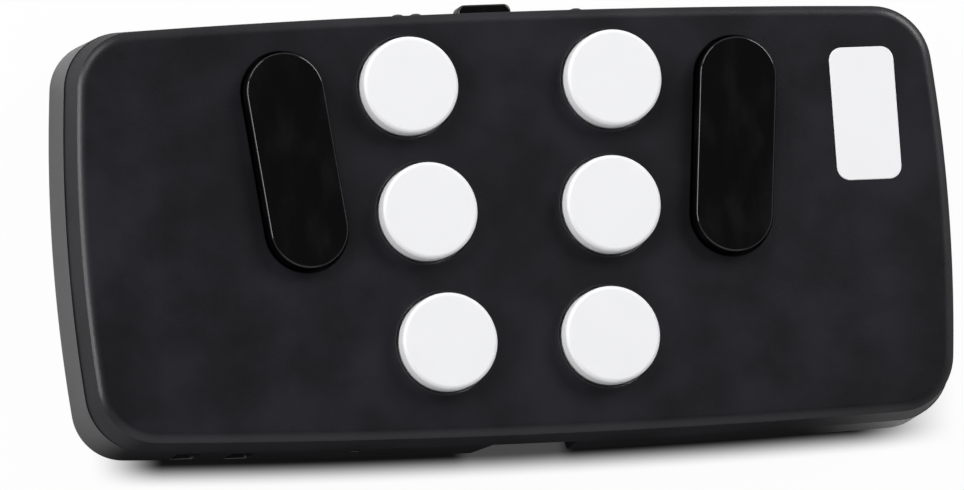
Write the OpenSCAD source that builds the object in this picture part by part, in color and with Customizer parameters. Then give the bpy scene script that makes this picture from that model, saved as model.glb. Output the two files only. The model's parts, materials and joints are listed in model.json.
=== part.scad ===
// Braille keyboard: a flat hand-held casing with six round dot keys in two leaning
// columns, two long bar keys beside them and a power slider on the upper edge.
// Millimetres. +Z points out of the key face, +Y towards the slider edge, and the
// origin is the middle of the flat back.

/* [Dot keys] */
// Diameter of a round key
dot_d = 11; // [9:0.1:13]
// Height of a round key above the face
dot_rise = 1.95; // [1.2:0.05:3]
// Edge radius of a round key
dot_edge = 0.45; // [0.2:0.05:0.8]
// Middle row up to the top row
row_up = 14.3; // [14:0.05:18]
// Middle row down to the bottom row
row_down = 14.85; // [14:0.05:18]
// Half the distance between the two columns at the middle row
column_half = 10.7; // [9.5:0.1:14]
// Lean of a column from straight up, in degrees
column_lean = 4.7; // [0:0.1:8]

/* [Bar keys] */
// Length of a bar key
bar_l = 24.6; // [20:0.1:30]
// Width of a bar key
bar_w = 9; // [7.5:0.1:11]
// Height of a bar key above the face
bar_rise = 1.65; // [1:0.05:3]
// Edge radius of a bar key
bar_edge = 0.35; // [0.2:0.05:0.8]
// From a dot key's rim in the middle row to the bar key beside it
bar_gap = 4.9; // [3.5:0.1:8]
// From the casing's upper edge to the top of a bar key
bar_top = 4.7; // [3.6:0.1:8]
// Lean of a bar key from straight up, in degrees
bar_lean = 6; // [0:0.1:10]
// Diameter of the two guide pins under a bar key
guide_d = 2; // [1.4:0.1:2.6]
// From a guide pin to the end of its bar key
guide_inset = 3.4; // [2.6:0.1:5]

/* [Key fit] */
// Gap between a key and its hole in the face
key_gap = 0.3; // [0.15:0.05:0.6]
// How far a key's flange reaches behind the face, past its hole
flange_reach = 0.6; // [0.4:0.05:1.2]
// Thickness of a key's flange
flange_t = 0.8; // [0.5:0.05:1.2]
// Gap between a resting flange and the back of the face
seat_gap = 0.1; // [0.05:0.05:0.3]
// Travel of a key
key_travel = 1; // [0.5:0.05:1.5]
// Wall of a moulded key
key_wall = 1.2; // [0.8:0.05:1.6]
// Room left under a key that is pressed home
press_room = 0.5; // [0.2:0.05:1]

/* [Switches] */
// Side of a switch housing
switch_w = 6.2; // [5:0.1:7.5]
// Floor of a switch housing, under its bore
switch_base = 0.9; // [0.5:0.05:1.5]
// Diameter of a switch plunger
plunger_d = 3.4; // [2.4:0.1:4]
// Depth of a resting plunger in its housing
plunger_in = 1.2; // [0.8:0.05:2]
// Gap round a sliding plunger or pin
slide_gap = 0.2; // [0.1:0.05:0.35]
// Height of the snap dome in a switch
dome_h = 0.4; // [0.2:0.05:0.6]

/* [Casing] */
// Room between the top keys' flanges and the upper wall
upper_room = 0.3; // [0.2:0.05:4]
// Room between the bottom keys' flanges and the lower wall
lower_room = 2.75; // [2:0.05:6]
// Room between a bar key's flange and the end wall
end_room = 18.55; // [17:0.05:24]
// Corner radius of the outline
corner_r = 6.05; // [4:0.05:8]
// Bow radius of the two short ends
end_bow = 182; // [120:1:400]
// Bow radius of the two long sides
side_bow = 1170; // [800:10:3000]
// Radius of the rounding between the face and the front shell's walls
face_edge = 1.75; // [0.8:0.05:2.5]
// How far that rounding turns before it meets the walls in a crease, in degrees
face_turn = 46; // [30:1:75]
// Lean of the front shell's walls, in degrees
face_lean = 8.5; // [0:0.1:9]
// Radius round the edge of the back
back_edge = 1.5; // [0.8:0.05:2.5]
// Draft of the back shell's walls, in degrees
draft = 1.3; // [0:0.1:2]
// Side wall
wall = 1.8; // [1.5:0.05:2.4]
// Thickness of the face
face_wall = 1.6; // [1.2:0.05:2.2]
// Thickness of the back
floor_wall = 1.6; // [1.2:0.05:2.4]
// Depth of the parting line below the face
split_depth = 4.4; // [3.6:0.05:6]
// Height of the back shell's inner lip
lip_h = 1.2; // [0.6:0.05:1.6]
// Thickness of the inner lip
lip_t = 0.8; // [0.5:0.05:1]
// Gap between the lip and the front shell
lip_gap = 0.1; // [0.05:0.05:0.2]
// Bevel that both shells have at the parting line
seam = 0.15; // [0.05:0.05:0.3]

/* [Board and battery] */
// Thickness of the circuit board
board_t = 1.2; // [0.8:0.05:1.8]
// Gap round the board
board_gap = 0.5; // [0.3:0.05:1]
// Length of the battery
battery_l = 36; // [24:0.5:42]
// Width of the battery
battery_w = 28; // [20:0.5:32]
// Thickness of the battery
battery_t = 3.2; // [2.4:0.1:4.5]
// From the wall behind the charging socket to the battery
battery_inset = 9.3; // [5:0.1:12]
// Foam under the battery and the motor
pad_t = 0.4; // [0.2:0.05:1]
// Room between the battery and the board
battery_room = 0.3; // [0.2:0.05:1]
// Height of the ribs round the battery
rib_h = 1.5; // [0.8:0.1:2.4]
// Thickness of those ribs
rib_t = 0.8; // [0.6:0.05:1.2]
// Length of the battery plug under the board
plug_l = 5; // [4:0.1:6]
// Width of the battery plug
plug_w = 4.5; // [3.5:0.1:6]
// Height of the battery plug
plug_h = 2; // [1.8:0.05:2.4]
// Diameter of one battery lead
lead_d = 0.8; // [0.6:0.05:1]
// Length of a battery lead between the battery and its plug
lead_l = 1.2; // [1.1:0.1:2]
// Diameter of the vibration motor
motor_d = 8; // [6:0.1:9.5]
// Thickness of the vibration motor
motor_t = 2.6; // [2:0.05:3]
// Length of the radio module, across the casing
radio_l = 13; // [10:0.1:16]
// Width of the radio module
radio_w = 10; // [8:0.1:11]
// Height of the radio module with its shield
radio_h = 2; // [1.5:0.05:2.5]
// Thickness of the radio module's own board
radio_base = 0.7; // [0.4:0.05:1]
// Margin of that board round the shield
radio_ledge = 0.5; // [0.2:0.05:1]
// Side of the largest chip
chip_w = 7; // [5:0.1:8]
// Side of the two small chips
chip_small = 4.2; // [3:0.1:5]
// Distance between the middles of the chips
chip_pitch = 7; // [6.8:0.1:9]
// Height of a chip
chip_h = 0.9; // [0.6:0.05:1.2]

/* [Charging socket] */
// Place of the socket along the lower edge, from the middle
usb_x = 1.2; // [-4:0.1:4]
// Width of the socket
usb_w = 8.94; // [8.5:0.02:9.4]
// Height of the socket
usb_h = 3.26; // [3:0.02:3.4]
// Length of the socket
usb_l = 7.3; // [6.5:0.1:9]
// Sheet thickness of the socket
usb_skin = 0.3; // [0.2:0.02:0.4]
// Thickness of the tongue in the socket
tongue_t = 0.7; // [0.5:0.05:0.8]
// From the socket's mouth to the tip of the tongue
tongue_set = 0.6; // [0.4:0.05:1]
// Length of the block that holds the tongue
tongue_base = 1.8; // [1.2:0.1:2.4]
// Gap round that block
tongue_gap = 0.05; // [0.02:0.01:0.1]
// Gap between the socket and the casing
usb_gap = 0.25; // [0.15:0.05:0.5]
// Width of the relief round the socket
relief_w = 9.8; // [9.6:0.1:14]
// Depth of the relief
relief_d = 1.8; // [1.2:0.05:2.2]
// How far the relief widens on each side towards the back
relief_flare = 1.2; // [0:0.1:3]
// Wall behind the relief
relief_wall = 1.4; // [1:0.05:2]

/* [Power slider] */
// Length of the knob
knob_l = 6.2; // [4:0.1:8]
// Height of the knob
knob_h = 2.6; // [1.8:0.1:2.8]
// How far the knob stands out of the edge
knob_proud = 1.25; // [0.8:0.05:2.5]
// Corner radius of the knob
knob_r = 0.8; // [0.3:0.05:1.2]
// Travel of the slider
slide_travel = 2; // [1:0.1:3]
// Gap round the knob in its slot
knob_gap = 0.3; // [0.2:0.05:0.5]
// Thickness of the plate behind the slot
plate_t = 1.4; // [1.1:0.05:2]
// How far the plate reaches past the slot
plate_lap = 0.8; // [0.5:0.05:1.2]
// Gap in front of and behind the plate
plate_gap = 0.2; // [0.1:0.05:0.3]
// Side of the switch lever
lever_w = 1.4; // [1:0.05:1.8]
// Depth of the lever in the plate and in the switch
lever_in = 0.8; // [0.5:0.05:0.9]
// Length of the slide switch
power_l = 9; // [8:0.1:11]
// Depth of the slide switch
power_d = 3.6; // [2.6:0.1:4.5]
// Height of the slide switch
power_h = 3.4; // [2.8:0.1:3.6]

/* [Edge details] */
// From the left end to the middle of the lanyard bar
lanyard_inset = 16; // [13.5:0.1:18]
// Width of each lanyard slot
lanyard_slot = 2.7; // [2:0.1:3.5]
// Width of the bar between the slots
lanyard_bar = 3.6; // [2.5:0.1:5]
// Height of the lanyard slots
lanyard_h = 4.5; // [3:0.1:5.5]
// Depth of the passage behind the bar
lanyard_depth = 2; // [1.5:0.1:3]
// Wall round the passage
lanyard_wall = 1; // [0.6:0.1:1.5]
// From the parting line down to the lanyard slots
lanyard_drop = 0.6; // [0.4:0.1:1.5]
// Diameter of a tactile pip
pip_d = 1.8; // [0.8:0.1:2]
// Height of a tactile pip
pip_rise = 0.65; // [0.4:0.05:1.2]
// From the middle of the slider's slot to the pips beside it
pip_x = 9.9; // [8.5:0.1:14]
// Distance between the two pips of the pair
pip_pitch = 2.1; // [1.8:0.1:3]
// From the parting line down to the pips
pip_drop = 1.3; // [1:0.1:2.5]
// Diameter of the reset pinhole
reset_d = 1.2; // [0.8:0.1:1.6]
// From the left end to the reset pinhole
reset_inset = 32; // [27:0.1:36]

/* [Fasteners] */
// Diameter of a case screw
screw_d = 2; // [1.6:0.1:2.5]
// Length of a case screw under its head
screw_l = 8; // [6:0.5:9.5]
// Diameter of a screw head
head_d = 3.6; // [3:0.1:4]
// Height of a screw head
head_h = 1.2; // [0.8:0.05:1.6]
// Length of the cross in a screw head
cross_l = 2.1; // [1.4:0.1:2.6]
// Width of that cross
cross_w = 0.5; // [0.3:0.05:0.7]
// Depth of that cross
cross_d = 0.6; // [0.3:0.05:0.7]
// Depth of a head below the back
head_sink = 0.5; // [0.2:0.05:1]
// Wall round a screw or a screw head
boss_wall = 1.1; // [0.8:0.05:1.4]
// Clearance round a screw
screw_gap = 0.15; // [0.05:0.05:0.25]
// From the sides of the casing to a case screw
boss_inset = 7.2; // [6:0.1:8.5]
// Length of a board screw under its head
board_screw_l = 4; // [3:0.1:4.6]
// From the long sides to a board post
post_inset = 11; // [10:0.1:13]

/* [Hidden] */
node = "all";
DOTS = [1:6];
SIDES = [-1, 1];
NODES = concat(
    ["front_shell", "back_shell", "left_bar_key", "right_bar_key"],
    [for (n = DOTS) str("dot_key_", n)],
    [for (n = DOTS) str("dot_plunger_", n)],
    [for (n = DOTS) str("dot_switch_", n)],
    ["left_bar_plunger", "right_bar_plunger", "left_bar_switch", "right_bar_switch", "switch_domes"],
    ["main_board", "board_chips", "radio_module", "board_screws"],
    ["usb_socket", "usb_tongue", "power_slider", "power_lever", "power_switch_body"],
    ["battery", "battery_pad", "battery_plug", "battery_leads"],
    ["vibration_motor", "motor_pad", "motor_contacts", "case_screws"]
);
$fn = 48;

// Steps along the bowed sides, the corners, the rounded edges and the bar keys' ends
end_steps = 4;
side_steps = 6;
corner_steps = 8;
edge_steps = 4;
round_steps = 16;
// How far a cut runs past the face that it opens
past = 1;
// How deep an added piece is rooted in its wall
root = 0.3;

// Plan: keys, then the casing round them
flange_out = key_gap + flange_reach;
lean_room = (split_depth - face_wall) * tan(face_lean);
bar_x = column_half + dot_d / 2 + bar_gap + bar_w / 2;
body_w = 2 * (bar_x + bar_w / 2 + flange_out + end_room + wall);
body_h = dot_d + row_up + row_down + 2 * (flange_out + lean_room + wall) + upper_room + lower_room;
mid_row_y = body_h / 2 - wall - lean_room - upper_room - flange_out - dot_d / 2 - row_up;
bar_y = body_h / 2 - bar_top - bar_w / 2 - (bar_l - bar_w) / 2 * cos(bar_lean);
guide_y = bar_l / 2 - guide_inset;

// Heights, stacked from the back to the face
floor_z = floor_wall;
battery_z = floor_z + pad_t;
board_low = battery_z + battery_t + battery_room;
board_z = board_low + board_t;
bore_depth = plunger_in + key_travel + dome_h + slide_gap;
switch_h = switch_base + bore_depth;
switch_top = board_z + switch_h;
flange_z = switch_top + press_room + key_travel;
flange_top = flange_z + flange_t;
plate_z = flange_top + seat_gap;
face_z = plate_z + face_wall;
split_z = face_z - split_depth;
lip_top = split_z + lip_h;

// Centres of the outline's arcs: the short ends, the long sides and the corners between them
end_c = [body_w / 2 - end_bow, 0];
side_c = [0, body_h / 2 - side_bow];
c_span = norm(side_c - end_c);
c_dir = (side_c - end_c) / c_span;
c_along = (pow(end_bow - corner_r, 2) - pow(side_bow - corner_r, 2) + c_span * c_span) / (2 * c_span);
c_across = sqrt(pow(end_bow - corner_r, 2) - c_along * c_along);
corner_c = end_c + c_dir * c_along + [-c_dir.y, c_dir.x] * c_across;
end_turn = atan2(corner_c.y - end_c.y, corner_c.x - end_c.x);
side_turn = atan2(corner_c.y - side_c.y, corner_c.x - side_c.x);

// Places of the screws, posts and inner pieces
boss_x = body_w / 2 - boss_inset;
boss_y = body_h / 2 - boss_inset;
bar_rim = bar_x + bar_w / 2;
post_x = (bar_rim + boss_x) / 2;
post_y = body_h / 2 - post_inset;
boss_d = screw_d + 2 * (screw_gap + boss_wall);
seat_d = head_d + 2 * (screw_gap + boss_wall);
seat_z = head_sink + head_h;
post_d = screw_d + 2 * boss_wall;
relief_back = -body_h / 2 + relief_d + relief_wall;
battery_y = relief_back + battery_inset + battery_w / 2;
plug_x = -battery_l / 2 - lead_l - plug_l;
plug_y = battery_y - battery_w / 2 + plug_w;

// Power slider: its height, and the faces of its plate and switch from the wall inwards
slider_z = board_z + power_h / 2;
knob_x = -slide_travel / 2;
slot_l = knob_l + slide_travel + 2 * knob_gap;
slot_h = knob_h + 2 * knob_gap;
plate_l = slot_l + slide_travel + 2 * plate_lap;
plate_h = slot_h + 2 * plate_lap;
plate_front = body_h / 2 - wall - wall_draft(slider_z) - plate_gap;
plate_back = plate_front - plate_t;
power_front = plate_back - plate_gap;

// Charging socket
usb_z = board_z + usb_h / 2;
usb_front = -body_h / 2 + relief_d + usb_gap;

// Lanyard passage
lanyard_x = -body_w / 2 + lanyard_inset;
lanyard_w = lanyard_bar + 2 * lanyard_slot;
lanyard_z = split_z - lanyard_drop - lanyard_h;
lanyard_back = -body_h / 2 + bow_drop(lanyard_x) + wall + lanyard_depth;

// How far each shell's walls lean in at a height, and how far a long side has bowed in at a place
function wall_draft(z) = (split_z - z) * tan(draft);
function front_lean(z) = (z - split_z) * tan(face_lean);
function bow_drop(x) = side_bow - sqrt(side_bow * side_bow - x * x);

function arc(centre, r, from, to, steps) =
    [for (k = [0:steps]) let (a = from + (to - from) * k / steps) centre + r * [cos(a), sin(a)]];
function tail(list) = [for (k = [1:len(list) - 1]) list[k]];

// The casing's outline, drawn in by inset, as a closed loop of points
function quarter(inset) = concat(
    arc(end_c, end_bow - inset, 0, end_turn, end_steps),
    tail(arc(corner_c, corner_r - inset, end_turn, side_turn, corner_steps)),
    tail(arc(side_c, side_bow - inset, side_turn, 90, side_steps))
);
function outline(inset) = let (q = quarter(inset), n = len(q)) concat(
    q,
    [for (k = [n - 2:-1:0]) [-q[k].x, q[k].y]],
    [for (k = [1:n - 1]) -q[k]],
    [for (k = [n - 2:-1:1]) [q[k].x, -q[k].y]]
);

// A long outline with round ends, drawn in by inset
function stadium(l, w, inset = 0) = concat(
    arc([0, (l - w) / 2], w / 2 - inset, 0, 180, round_steps),
    arc([0, (w - l) / 2], w / 2 - inset, 180, 360, round_steps)
);

// A rectangle with its corners on the +Y side rounded
function rounded_front(l, d, r) = concat(
    [[-l / 2, 0], [l / 2, 0]],
    arc([l / 2 - r, d - r], r, 0, 90, round_steps / 2),
    arc([r - l / 2, d - r], r, 90, 180, round_steps / 2)
);

function at_height(points, z) = [for (p = points) [p.x, p.y, z]];

function dot_x(n) = (n <= 3 ? -1 : 1) * (column_half + (dot_y(n) - mid_row_y) * tan(column_lean));
function dot_y(n) = mid_row_y + [row_up, 0, -row_down][(n - 1) % 3];

// A solid through rings of equally many points, from the lowest ring to the highest
module loft(rings) {
    n = len(rings[0]);
    top = len(rings) - 1;
    polyhedron(
        points = [for (ring = rings) each ring],
        faces = concat(
            [[for (k = [0:n - 1]) k]],
            [for (j = [0:top - 1], k = [0:n - 1]) [j * n + k, (j + 1) * n + k, j * n + (k + 1) % n]],
            [for (j = [0:top - 1], k = [0:n - 1])
                [j * n + (k + 1) % n, (j + 1) * n + k, (j + 1) * n + (k + 1) % n]],
            [[for (k = [n - 1:-1:0]) top * n + k]]
        )
    );
}

// A casing form through [inset, height] pairs
module casing(steps) {
    loft([for (s = steps) at_height(outline(s[0]), s[1])]);
}

module bar_form(l, w, z, h) {
    translate([0, 0, z]) linear_extrude(h) polygon(stadium(l, w));
}

module post(d, low, high) {
    translate([0, 0, low]) cylinder(d = d, h = high - low);
}

module block(from, to) {
    translate(from) cube(to - from);
}

module at_corners(x, y) {
    for (sx = SIDES, sy = SIDES) translate([sx * x, sy * y, 0]) children();
}

module at_dot(n) {
    translate([dot_x(n), dot_y(n), 0]) children();
}

module at_bar(side) {
    translate([side * bar_x, bar_y, 0]) rotate([0, 0, -side * bar_lean]) children();
}

module at_guides() {
    for (s = SIDES) translate([0, s * guide_y, 0]) children();
}

// Casing

module slider_slot(top) {
    low = slider_z - slot_h / 2;
    block([-slot_l / 2, plate_front - plate_gap - past, low], [slot_l / 2, body_h / 2 + past, top]);
}

module usb_opening() {
    translate([usb_x, relief_back + past, usb_z]) rotate([90, 0, 0]) linear_extrude(relief_wall + 2 * past)
        rotate([0, 0, 90]) polygon(stadium(usb_w + 2 * usb_gap, usb_h + 2 * usb_gap));
}

module front_shell() {
    edge_z = face_z - face_edge * (1 - cos(face_turn));
    edge_in = front_lean(edge_z) + face_edge * sin(face_turn);
    rebate = wall - lip_t - lip_gap;
    color("#27282c") difference() {
        union() {
            difference() {
                casing(concat(
                    [[seam, split_z], [front_lean(split_z + seam), split_z + seam]],
                    [for (k = [edge_steps:-1:0]) let (a = face_turn * k / edge_steps)
                        [edge_in - face_edge * sin(a), face_z - face_edge * (1 - cos(a))]]
                ));
                casing([[wall, split_z - past], [wall, split_z], [wall + lean_room, plate_z]]);
                casing([[rebate, split_z - past], [rebate, lip_top + lip_gap]]);
                for (n = DOTS) at_dot(n) post(dot_d + 2 * key_gap, plate_z - past, face_z + past);
                for (side = SIDES) at_bar(side)
                    bar_form(bar_l + 2 * key_gap, bar_w + 2 * key_gap, plate_z - past, face_wall + 2 * past);
            }
            at_corners(boss_x, boss_y) post(boss_d, board_low, plate_z + root);
        }
        at_corners(boss_x, boss_y) post(screw_d, board_low - past, seat_z + screw_l + screw_gap);
        slider_slot(slider_z + slot_h / 2);
        usb_opening();
    }
}

module tactile_pip() {
    rotate([-90, 0, 0]) rotate_extrude() polygon(concat(
        [[0, -root]],
        [for (k = [0:edge_steps]) let (a = 90 * k / edge_steps)
            [pip_d / 2 * cos(a), (pip_rise + root) * sin(a) - root]]
    ));
}

module battery_ribs() {
    outer = [battery_l, battery_w] + 2 * (rib_t + slide_gap) * [1, 1];
    inner = [battery_l, battery_w] + 2 * slide_gap * [1, 1];
    translate([0, battery_y, floor_z - root]) linear_extrude(rib_h + root) difference() {
        square(outer, center = true);
        square(inner, center = true);
        square([battery_l / 2, battery_w * 2], center = true);
    }
}

module lanyard_passage() {
    y = -body_h / 2 - past;
    for (s = SIDES) translate([lanyard_x + s * (lanyard_bar + lanyard_slot) / 2, 0, 0])
        block([-lanyard_slot / 2, y, lanyard_z], [lanyard_slot / 2, lanyard_back, lanyard_z + lanyard_h]);
    block([lanyard_x - lanyard_w / 2, lanyard_back - lanyard_depth, lanyard_z],
          [lanyard_x + lanyard_w / 2, lanyard_back, lanyard_z + lanyard_h]);
}

module lanyard_block(gap) {
    side = lanyard_w / 2 + lanyard_wall + gap;
    block([lanyard_x - side, -body_h / 2, lanyard_z - lanyard_wall],
          [lanyard_x + side, lanyard_back + lanyard_wall + gap, split_z]);
}

module relief_block(gap) {
    side = relief_w / 2 + relief_flare + relief_wall + gap;
    block([usb_x - side, -body_h / 2, 0], [usb_x + side, relief_back + gap, split_z]);
}

module usb_relief() {
    half = relief_w / 2;
    wide = half + relief_flare;
    translate([usb_x, relief_d - body_h / 2, 0]) rotate([90, 0, 0]) linear_extrude(relief_d + past)
        polygon([[-wide, -past], [wide, -past], [half, split_z], [half, lip_top + past],
                 [-half, lip_top + past], [-half, split_z]]);
    // The lip stops on both sides of the relief
    block([usb_x - half, -body_h / 2, split_z], [usb_x + half, relief_back, lip_top + past]);
}

module back_shell() {
    edge_in = wall_draft(back_edge);
    lip_in = wall - lip_t;
    pip_z = split_z - pip_drop;
    color("#2b2c30") difference() {
        union() {
            difference() {
                union() {
                    casing(concat(
                        [for (k = [0:edge_steps]) let (a = 90 * k / edge_steps)
                            [edge_in + back_edge * (1 - sin(a)), back_edge * (1 - cos(a))]],
                        [[0, split_z - seam], [seam, split_z]]
                    ));
                    casing([[lip_in, split_z - past], [lip_in, lip_top]]);
                }
                difference() {
                    casing([[wall + wall_draft(floor_z), floor_z], [wall, split_z], [wall, lip_top + past]]);
                    lanyard_block(0);
                    relief_block(0);
                }
            }
            at_corners(boss_x, boss_y) post(seat_d, floor_z - root, board_low);
            at_corners(post_x, post_y) post(post_d, floor_z - root, board_low);
            battery_ribs();
            for (x = [-pip_x - pip_pitch / 2, pip_pitch / 2 - pip_x, pip_x])
                translate([x, body_h / 2 - wall_draft(pip_z) - bow_drop(x), pip_z]) tactile_pip();
        }
        at_corners(boss_x, boss_y) {
            post(head_d + 2 * screw_gap, -past, seat_z);
            post(screw_d + 2 * screw_gap, seat_z - past, board_low + past);
        }
        at_corners(post_x, post_y) post(screw_d, board_z - board_screw_l - screw_gap, board_low + past);
        slider_slot(lip_top + past);
        usb_relief();
        usb_opening();
        lanyard_passage();
        translate([reset_inset - body_w / 2, -body_h / 2 - past, usb_z])
            rotate([-90, 0, 0]) cylinder(d = reset_d, h = wall + 2 * past);
    }
}

// Keys and switches

module dot_key(n) {
    r = dot_d / 2;
    top = face_z + dot_rise;
    stem = plunger_d / 2 + slide_gap;
    skirt = r - key_wall;
    hollow_z = top - key_wall;
    color("#ededee") at_dot(n) rotate_extrude() polygon(concat(
        [[0, flange_z], [stem, flange_z], [stem, hollow_z], [skirt, hollow_z], [skirt, flange_z]],
        [[r + flange_out, flange_z], [r + flange_out, flange_top], [r, flange_top]],
        arc([r - dot_edge, top - dot_edge], dot_edge, 0, 90, edge_steps),
        [[0, top]]
    ));
}

module bar_key(side) {
    top = face_z + bar_rise;
    hollow_z = top - key_wall;
    stem = plunger_d + 2 * slide_gap;
    color("#0d0d0f") at_bar(side) {
        difference() {
            loft(concat(
                [for (z = [flange_z, flange_top]) at_height(stadium(bar_l, bar_w, -flange_out), z)],
                [at_height(stadium(bar_l, bar_w), flange_top)],
                [for (k = [0:edge_steps]) let (a = 90 * k / edge_steps)
                    at_height(stadium(bar_l, bar_w, bar_edge * (1 - cos(a))), top - bar_edge * (1 - sin(a)))]
            ));
            bar_form(bar_l - 2 * key_wall, bar_w - 2 * key_wall, flange_z - past, hollow_z - flange_z + past);
        }
        post(stem, flange_z, hollow_z + root);
        at_guides() {
            post(guide_d + key_wall, flange_z, hollow_z + root);
            post(guide_d, board_low - slide_gap, flange_z + root);
        }
    }
}

module plunger() {
    color("#c9c4b8") post(plunger_d, switch_top - plunger_in, flange_z);
}

module switch_housing() {
    half = switch_w / 2;
    color("#3a3b3e") difference() {
        block([-half, -half, board_z], [half, half, switch_top]);
        post(plunger_d + 2 * slide_gap, switch_top - bore_depth, switch_top + past);
    }
}

module snap_dome() {
    translate([0, 0, switch_top - bore_depth]) rotate_extrude() polygon(concat(
        [[0, 0]],
        [for (k = [0:edge_steps]) let (a = 90 * k / edge_steps) [plunger_d / 2 * cos(a), dome_h * sin(a)]]
    ));
}

module switch_domes() {
    color("#c8cacc") {
        for (n = DOTS) at_dot(n) snap_dome();
        for (side = SIDES) at_bar(side) snap_dome();
    }
}

// Board and what it carries

module main_board() {
    color("#1f6a3c") difference() {
        translate([0, 0, board_low]) linear_extrude(board_t) polygon(outline(wall + board_gap));
        at_corners(boss_x, boss_y) post(boss_d + 2 * board_gap, board_low - past, board_z + past);
        at_corners(post_x, post_y) post(screw_d + 2 * screw_gap, board_low - past, board_z + past);
        for (side = SIDES) at_bar(side) at_guides()
            post(guide_d + 2 * slide_gap, board_low - past, board_z + past);
        lanyard_block(board_gap);
        relief_block(board_gap);
        notch = plate_l / 2 + slide_travel;
        block([-notch, power_front, board_low - past], [notch, body_h / 2, board_z + past]);
    }
}

module chip(x, y, l, w, h) {
    block([x - l / 2, y - w / 2, board_z], [x + l / 2, y + w / 2, board_z + h]);
}

module board_chips() {
    color("#1b1b1d") {
        chip(-post_x, 0, chip_w, chip_w, chip_h);
        for (s = SIDES) chip(-post_x, s * chip_pitch, chip_small, chip_small, chip_h);
    }
}

module radio_module() {
    color("#b9bcc0") {
        chip(post_x, 0, radio_w, radio_l, radio_base);
        chip(post_x, 0, radio_w - 2 * radio_ledge, radio_l - 2 * radio_ledge, radio_h);
    }
}

module screw(length) {
    post(screw_d, -length, 0);
    difference() {
        post(head_d, 0, head_h);
        for (turn = [0, 90]) rotate([0, 0, turn])
            block([-cross_l / 2, -cross_w / 2, head_h - cross_d], [cross_l / 2, cross_w / 2, head_h + past]);
    }
}

module board_screws() {
    color("#8f9296") at_corners(post_x, post_y) translate([0, 0, board_z]) screw(board_screw_l);
}

module case_screws() {
    color("#8f9296") at_corners(boss_x, boss_y) translate([0, 0, seat_z]) rotate([180, 0, 0]) screw(screw_l);
}

module usb_socket() {
    color("#b4b6b9") translate([usb_x, usb_front, usb_z]) rotate([-90, 0, 0]) difference() {
        linear_extrude(usb_l) rotate([0, 0, 90]) polygon(stadium(usb_w, usb_h));
        translate([0, 0, -past]) linear_extrude(usb_l - usb_skin + past)
            rotate([0, 0, 90]) polygon(stadium(usb_w - 2 * usb_skin, usb_h - 2 * usb_skin));
    }
}

module usb_tongue() {
    fit = usb_skin + tongue_gap;
    half = (usb_w - usb_h) / 2;
    base = usb_front + usb_l - usb_skin - tongue_base;
    color("#18181a") {
        translate([usb_x, base, usb_z]) rotate([-90, 0, 0]) linear_extrude(tongue_base)
            rotate([0, 0, 90]) polygon(stadium(usb_w - 2 * fit, usb_h - 2 * fit));
        block([usb_x - half, usb_front + tongue_set, usb_z - tongue_t / 2],
              [usb_x + half, base + root, usb_z + tongue_t / 2]);
    }
}

// Power slider

module lever_room(x, gap, back, front) {
    half = lever_w / 2 + gap;
    block([x - half, back, slider_z - half], [x + half, front, slider_z + half]);
}

module power_slider() {
    knob_front = body_h / 2 - wall_draft(slider_z) + knob_proud;
    color("#101012") difference() {
        union() {
            translate([knob_x, plate_front - root, slider_z - knob_h / 2]) linear_extrude(knob_h)
                polygon(rounded_front(knob_l, knob_front - plate_front + root, knob_r));
            block([knob_x - plate_l / 2, plate_back, slider_z - plate_h / 2],
                  [knob_x + plate_l / 2, plate_front, slider_z + plate_h / 2]);
        }
        lever_room(knob_x, slide_gap / 2, plate_back - past, plate_back + lever_in + slide_gap);
    }
}

module power_lever() {
    color("#d9d5c8") lever_room(knob_x, 0, power_front - lever_in, plate_back + lever_in);
}

module power_switch_body() {
    reach = (lever_w + slide_travel) / 2 + slide_gap;
    rise = lever_w / 2 + slide_gap;
    color("#55575b") difference() {
        block([-power_l / 2, power_front - power_d, board_z], [power_l / 2, power_front, board_z + power_h]);
        block([-reach, power_front - lever_in - slide_gap, slider_z - rise],
              [reach, power_front + past, slider_z + rise]);
    }
}

// Battery and motor

module battery_slab(z, t) {
    translate([-battery_l / 2, battery_y - battery_w / 2, z]) cube([battery_l, battery_w, t]);
}

module battery() {
    color("#b8bbbf") battery_slab(battery_z, battery_t);
}

module battery_pad() {
    color("#4a4c50") battery_slab(floor_z, pad_t);
}

module battery_plug() {
    color("#e6e2d6") block([plug_x, plug_y - plug_w / 2, board_low - plug_h],
                           [plug_x + plug_l, plug_y + plug_w / 2, board_low]);
}

module battery_leads() {
    from_x = plug_x + plug_l;
    lead_z = (board_low - plug_h + battery_z + battery_t) / 2;
    color("#a02020") for (s = SIDES) translate([from_x, plug_y + s * lead_d, lead_z])
        rotate([0, 90, 0]) cylinder(d = lead_d, h = -battery_l / 2 - from_x);
}

module vibration_motor() {
    color("#a9acb0") translate([post_x, 0, 0]) post(motor_d, floor_z + pad_t, floor_z + pad_t + motor_t);
}

module motor_pad() {
    color("#4a4c50") translate([post_x, 0, 0]) post(motor_d, floor_z, floor_z + pad_t);
}

module motor_contacts() {
    color("#c9a54a") for (s = SIDES) translate([post_x, s * motor_d / 4, 0])
        post(lead_d, floor_z + pad_t + motor_t, board_low);
}

function wanted(name) = node == "all" || node == name;

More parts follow.
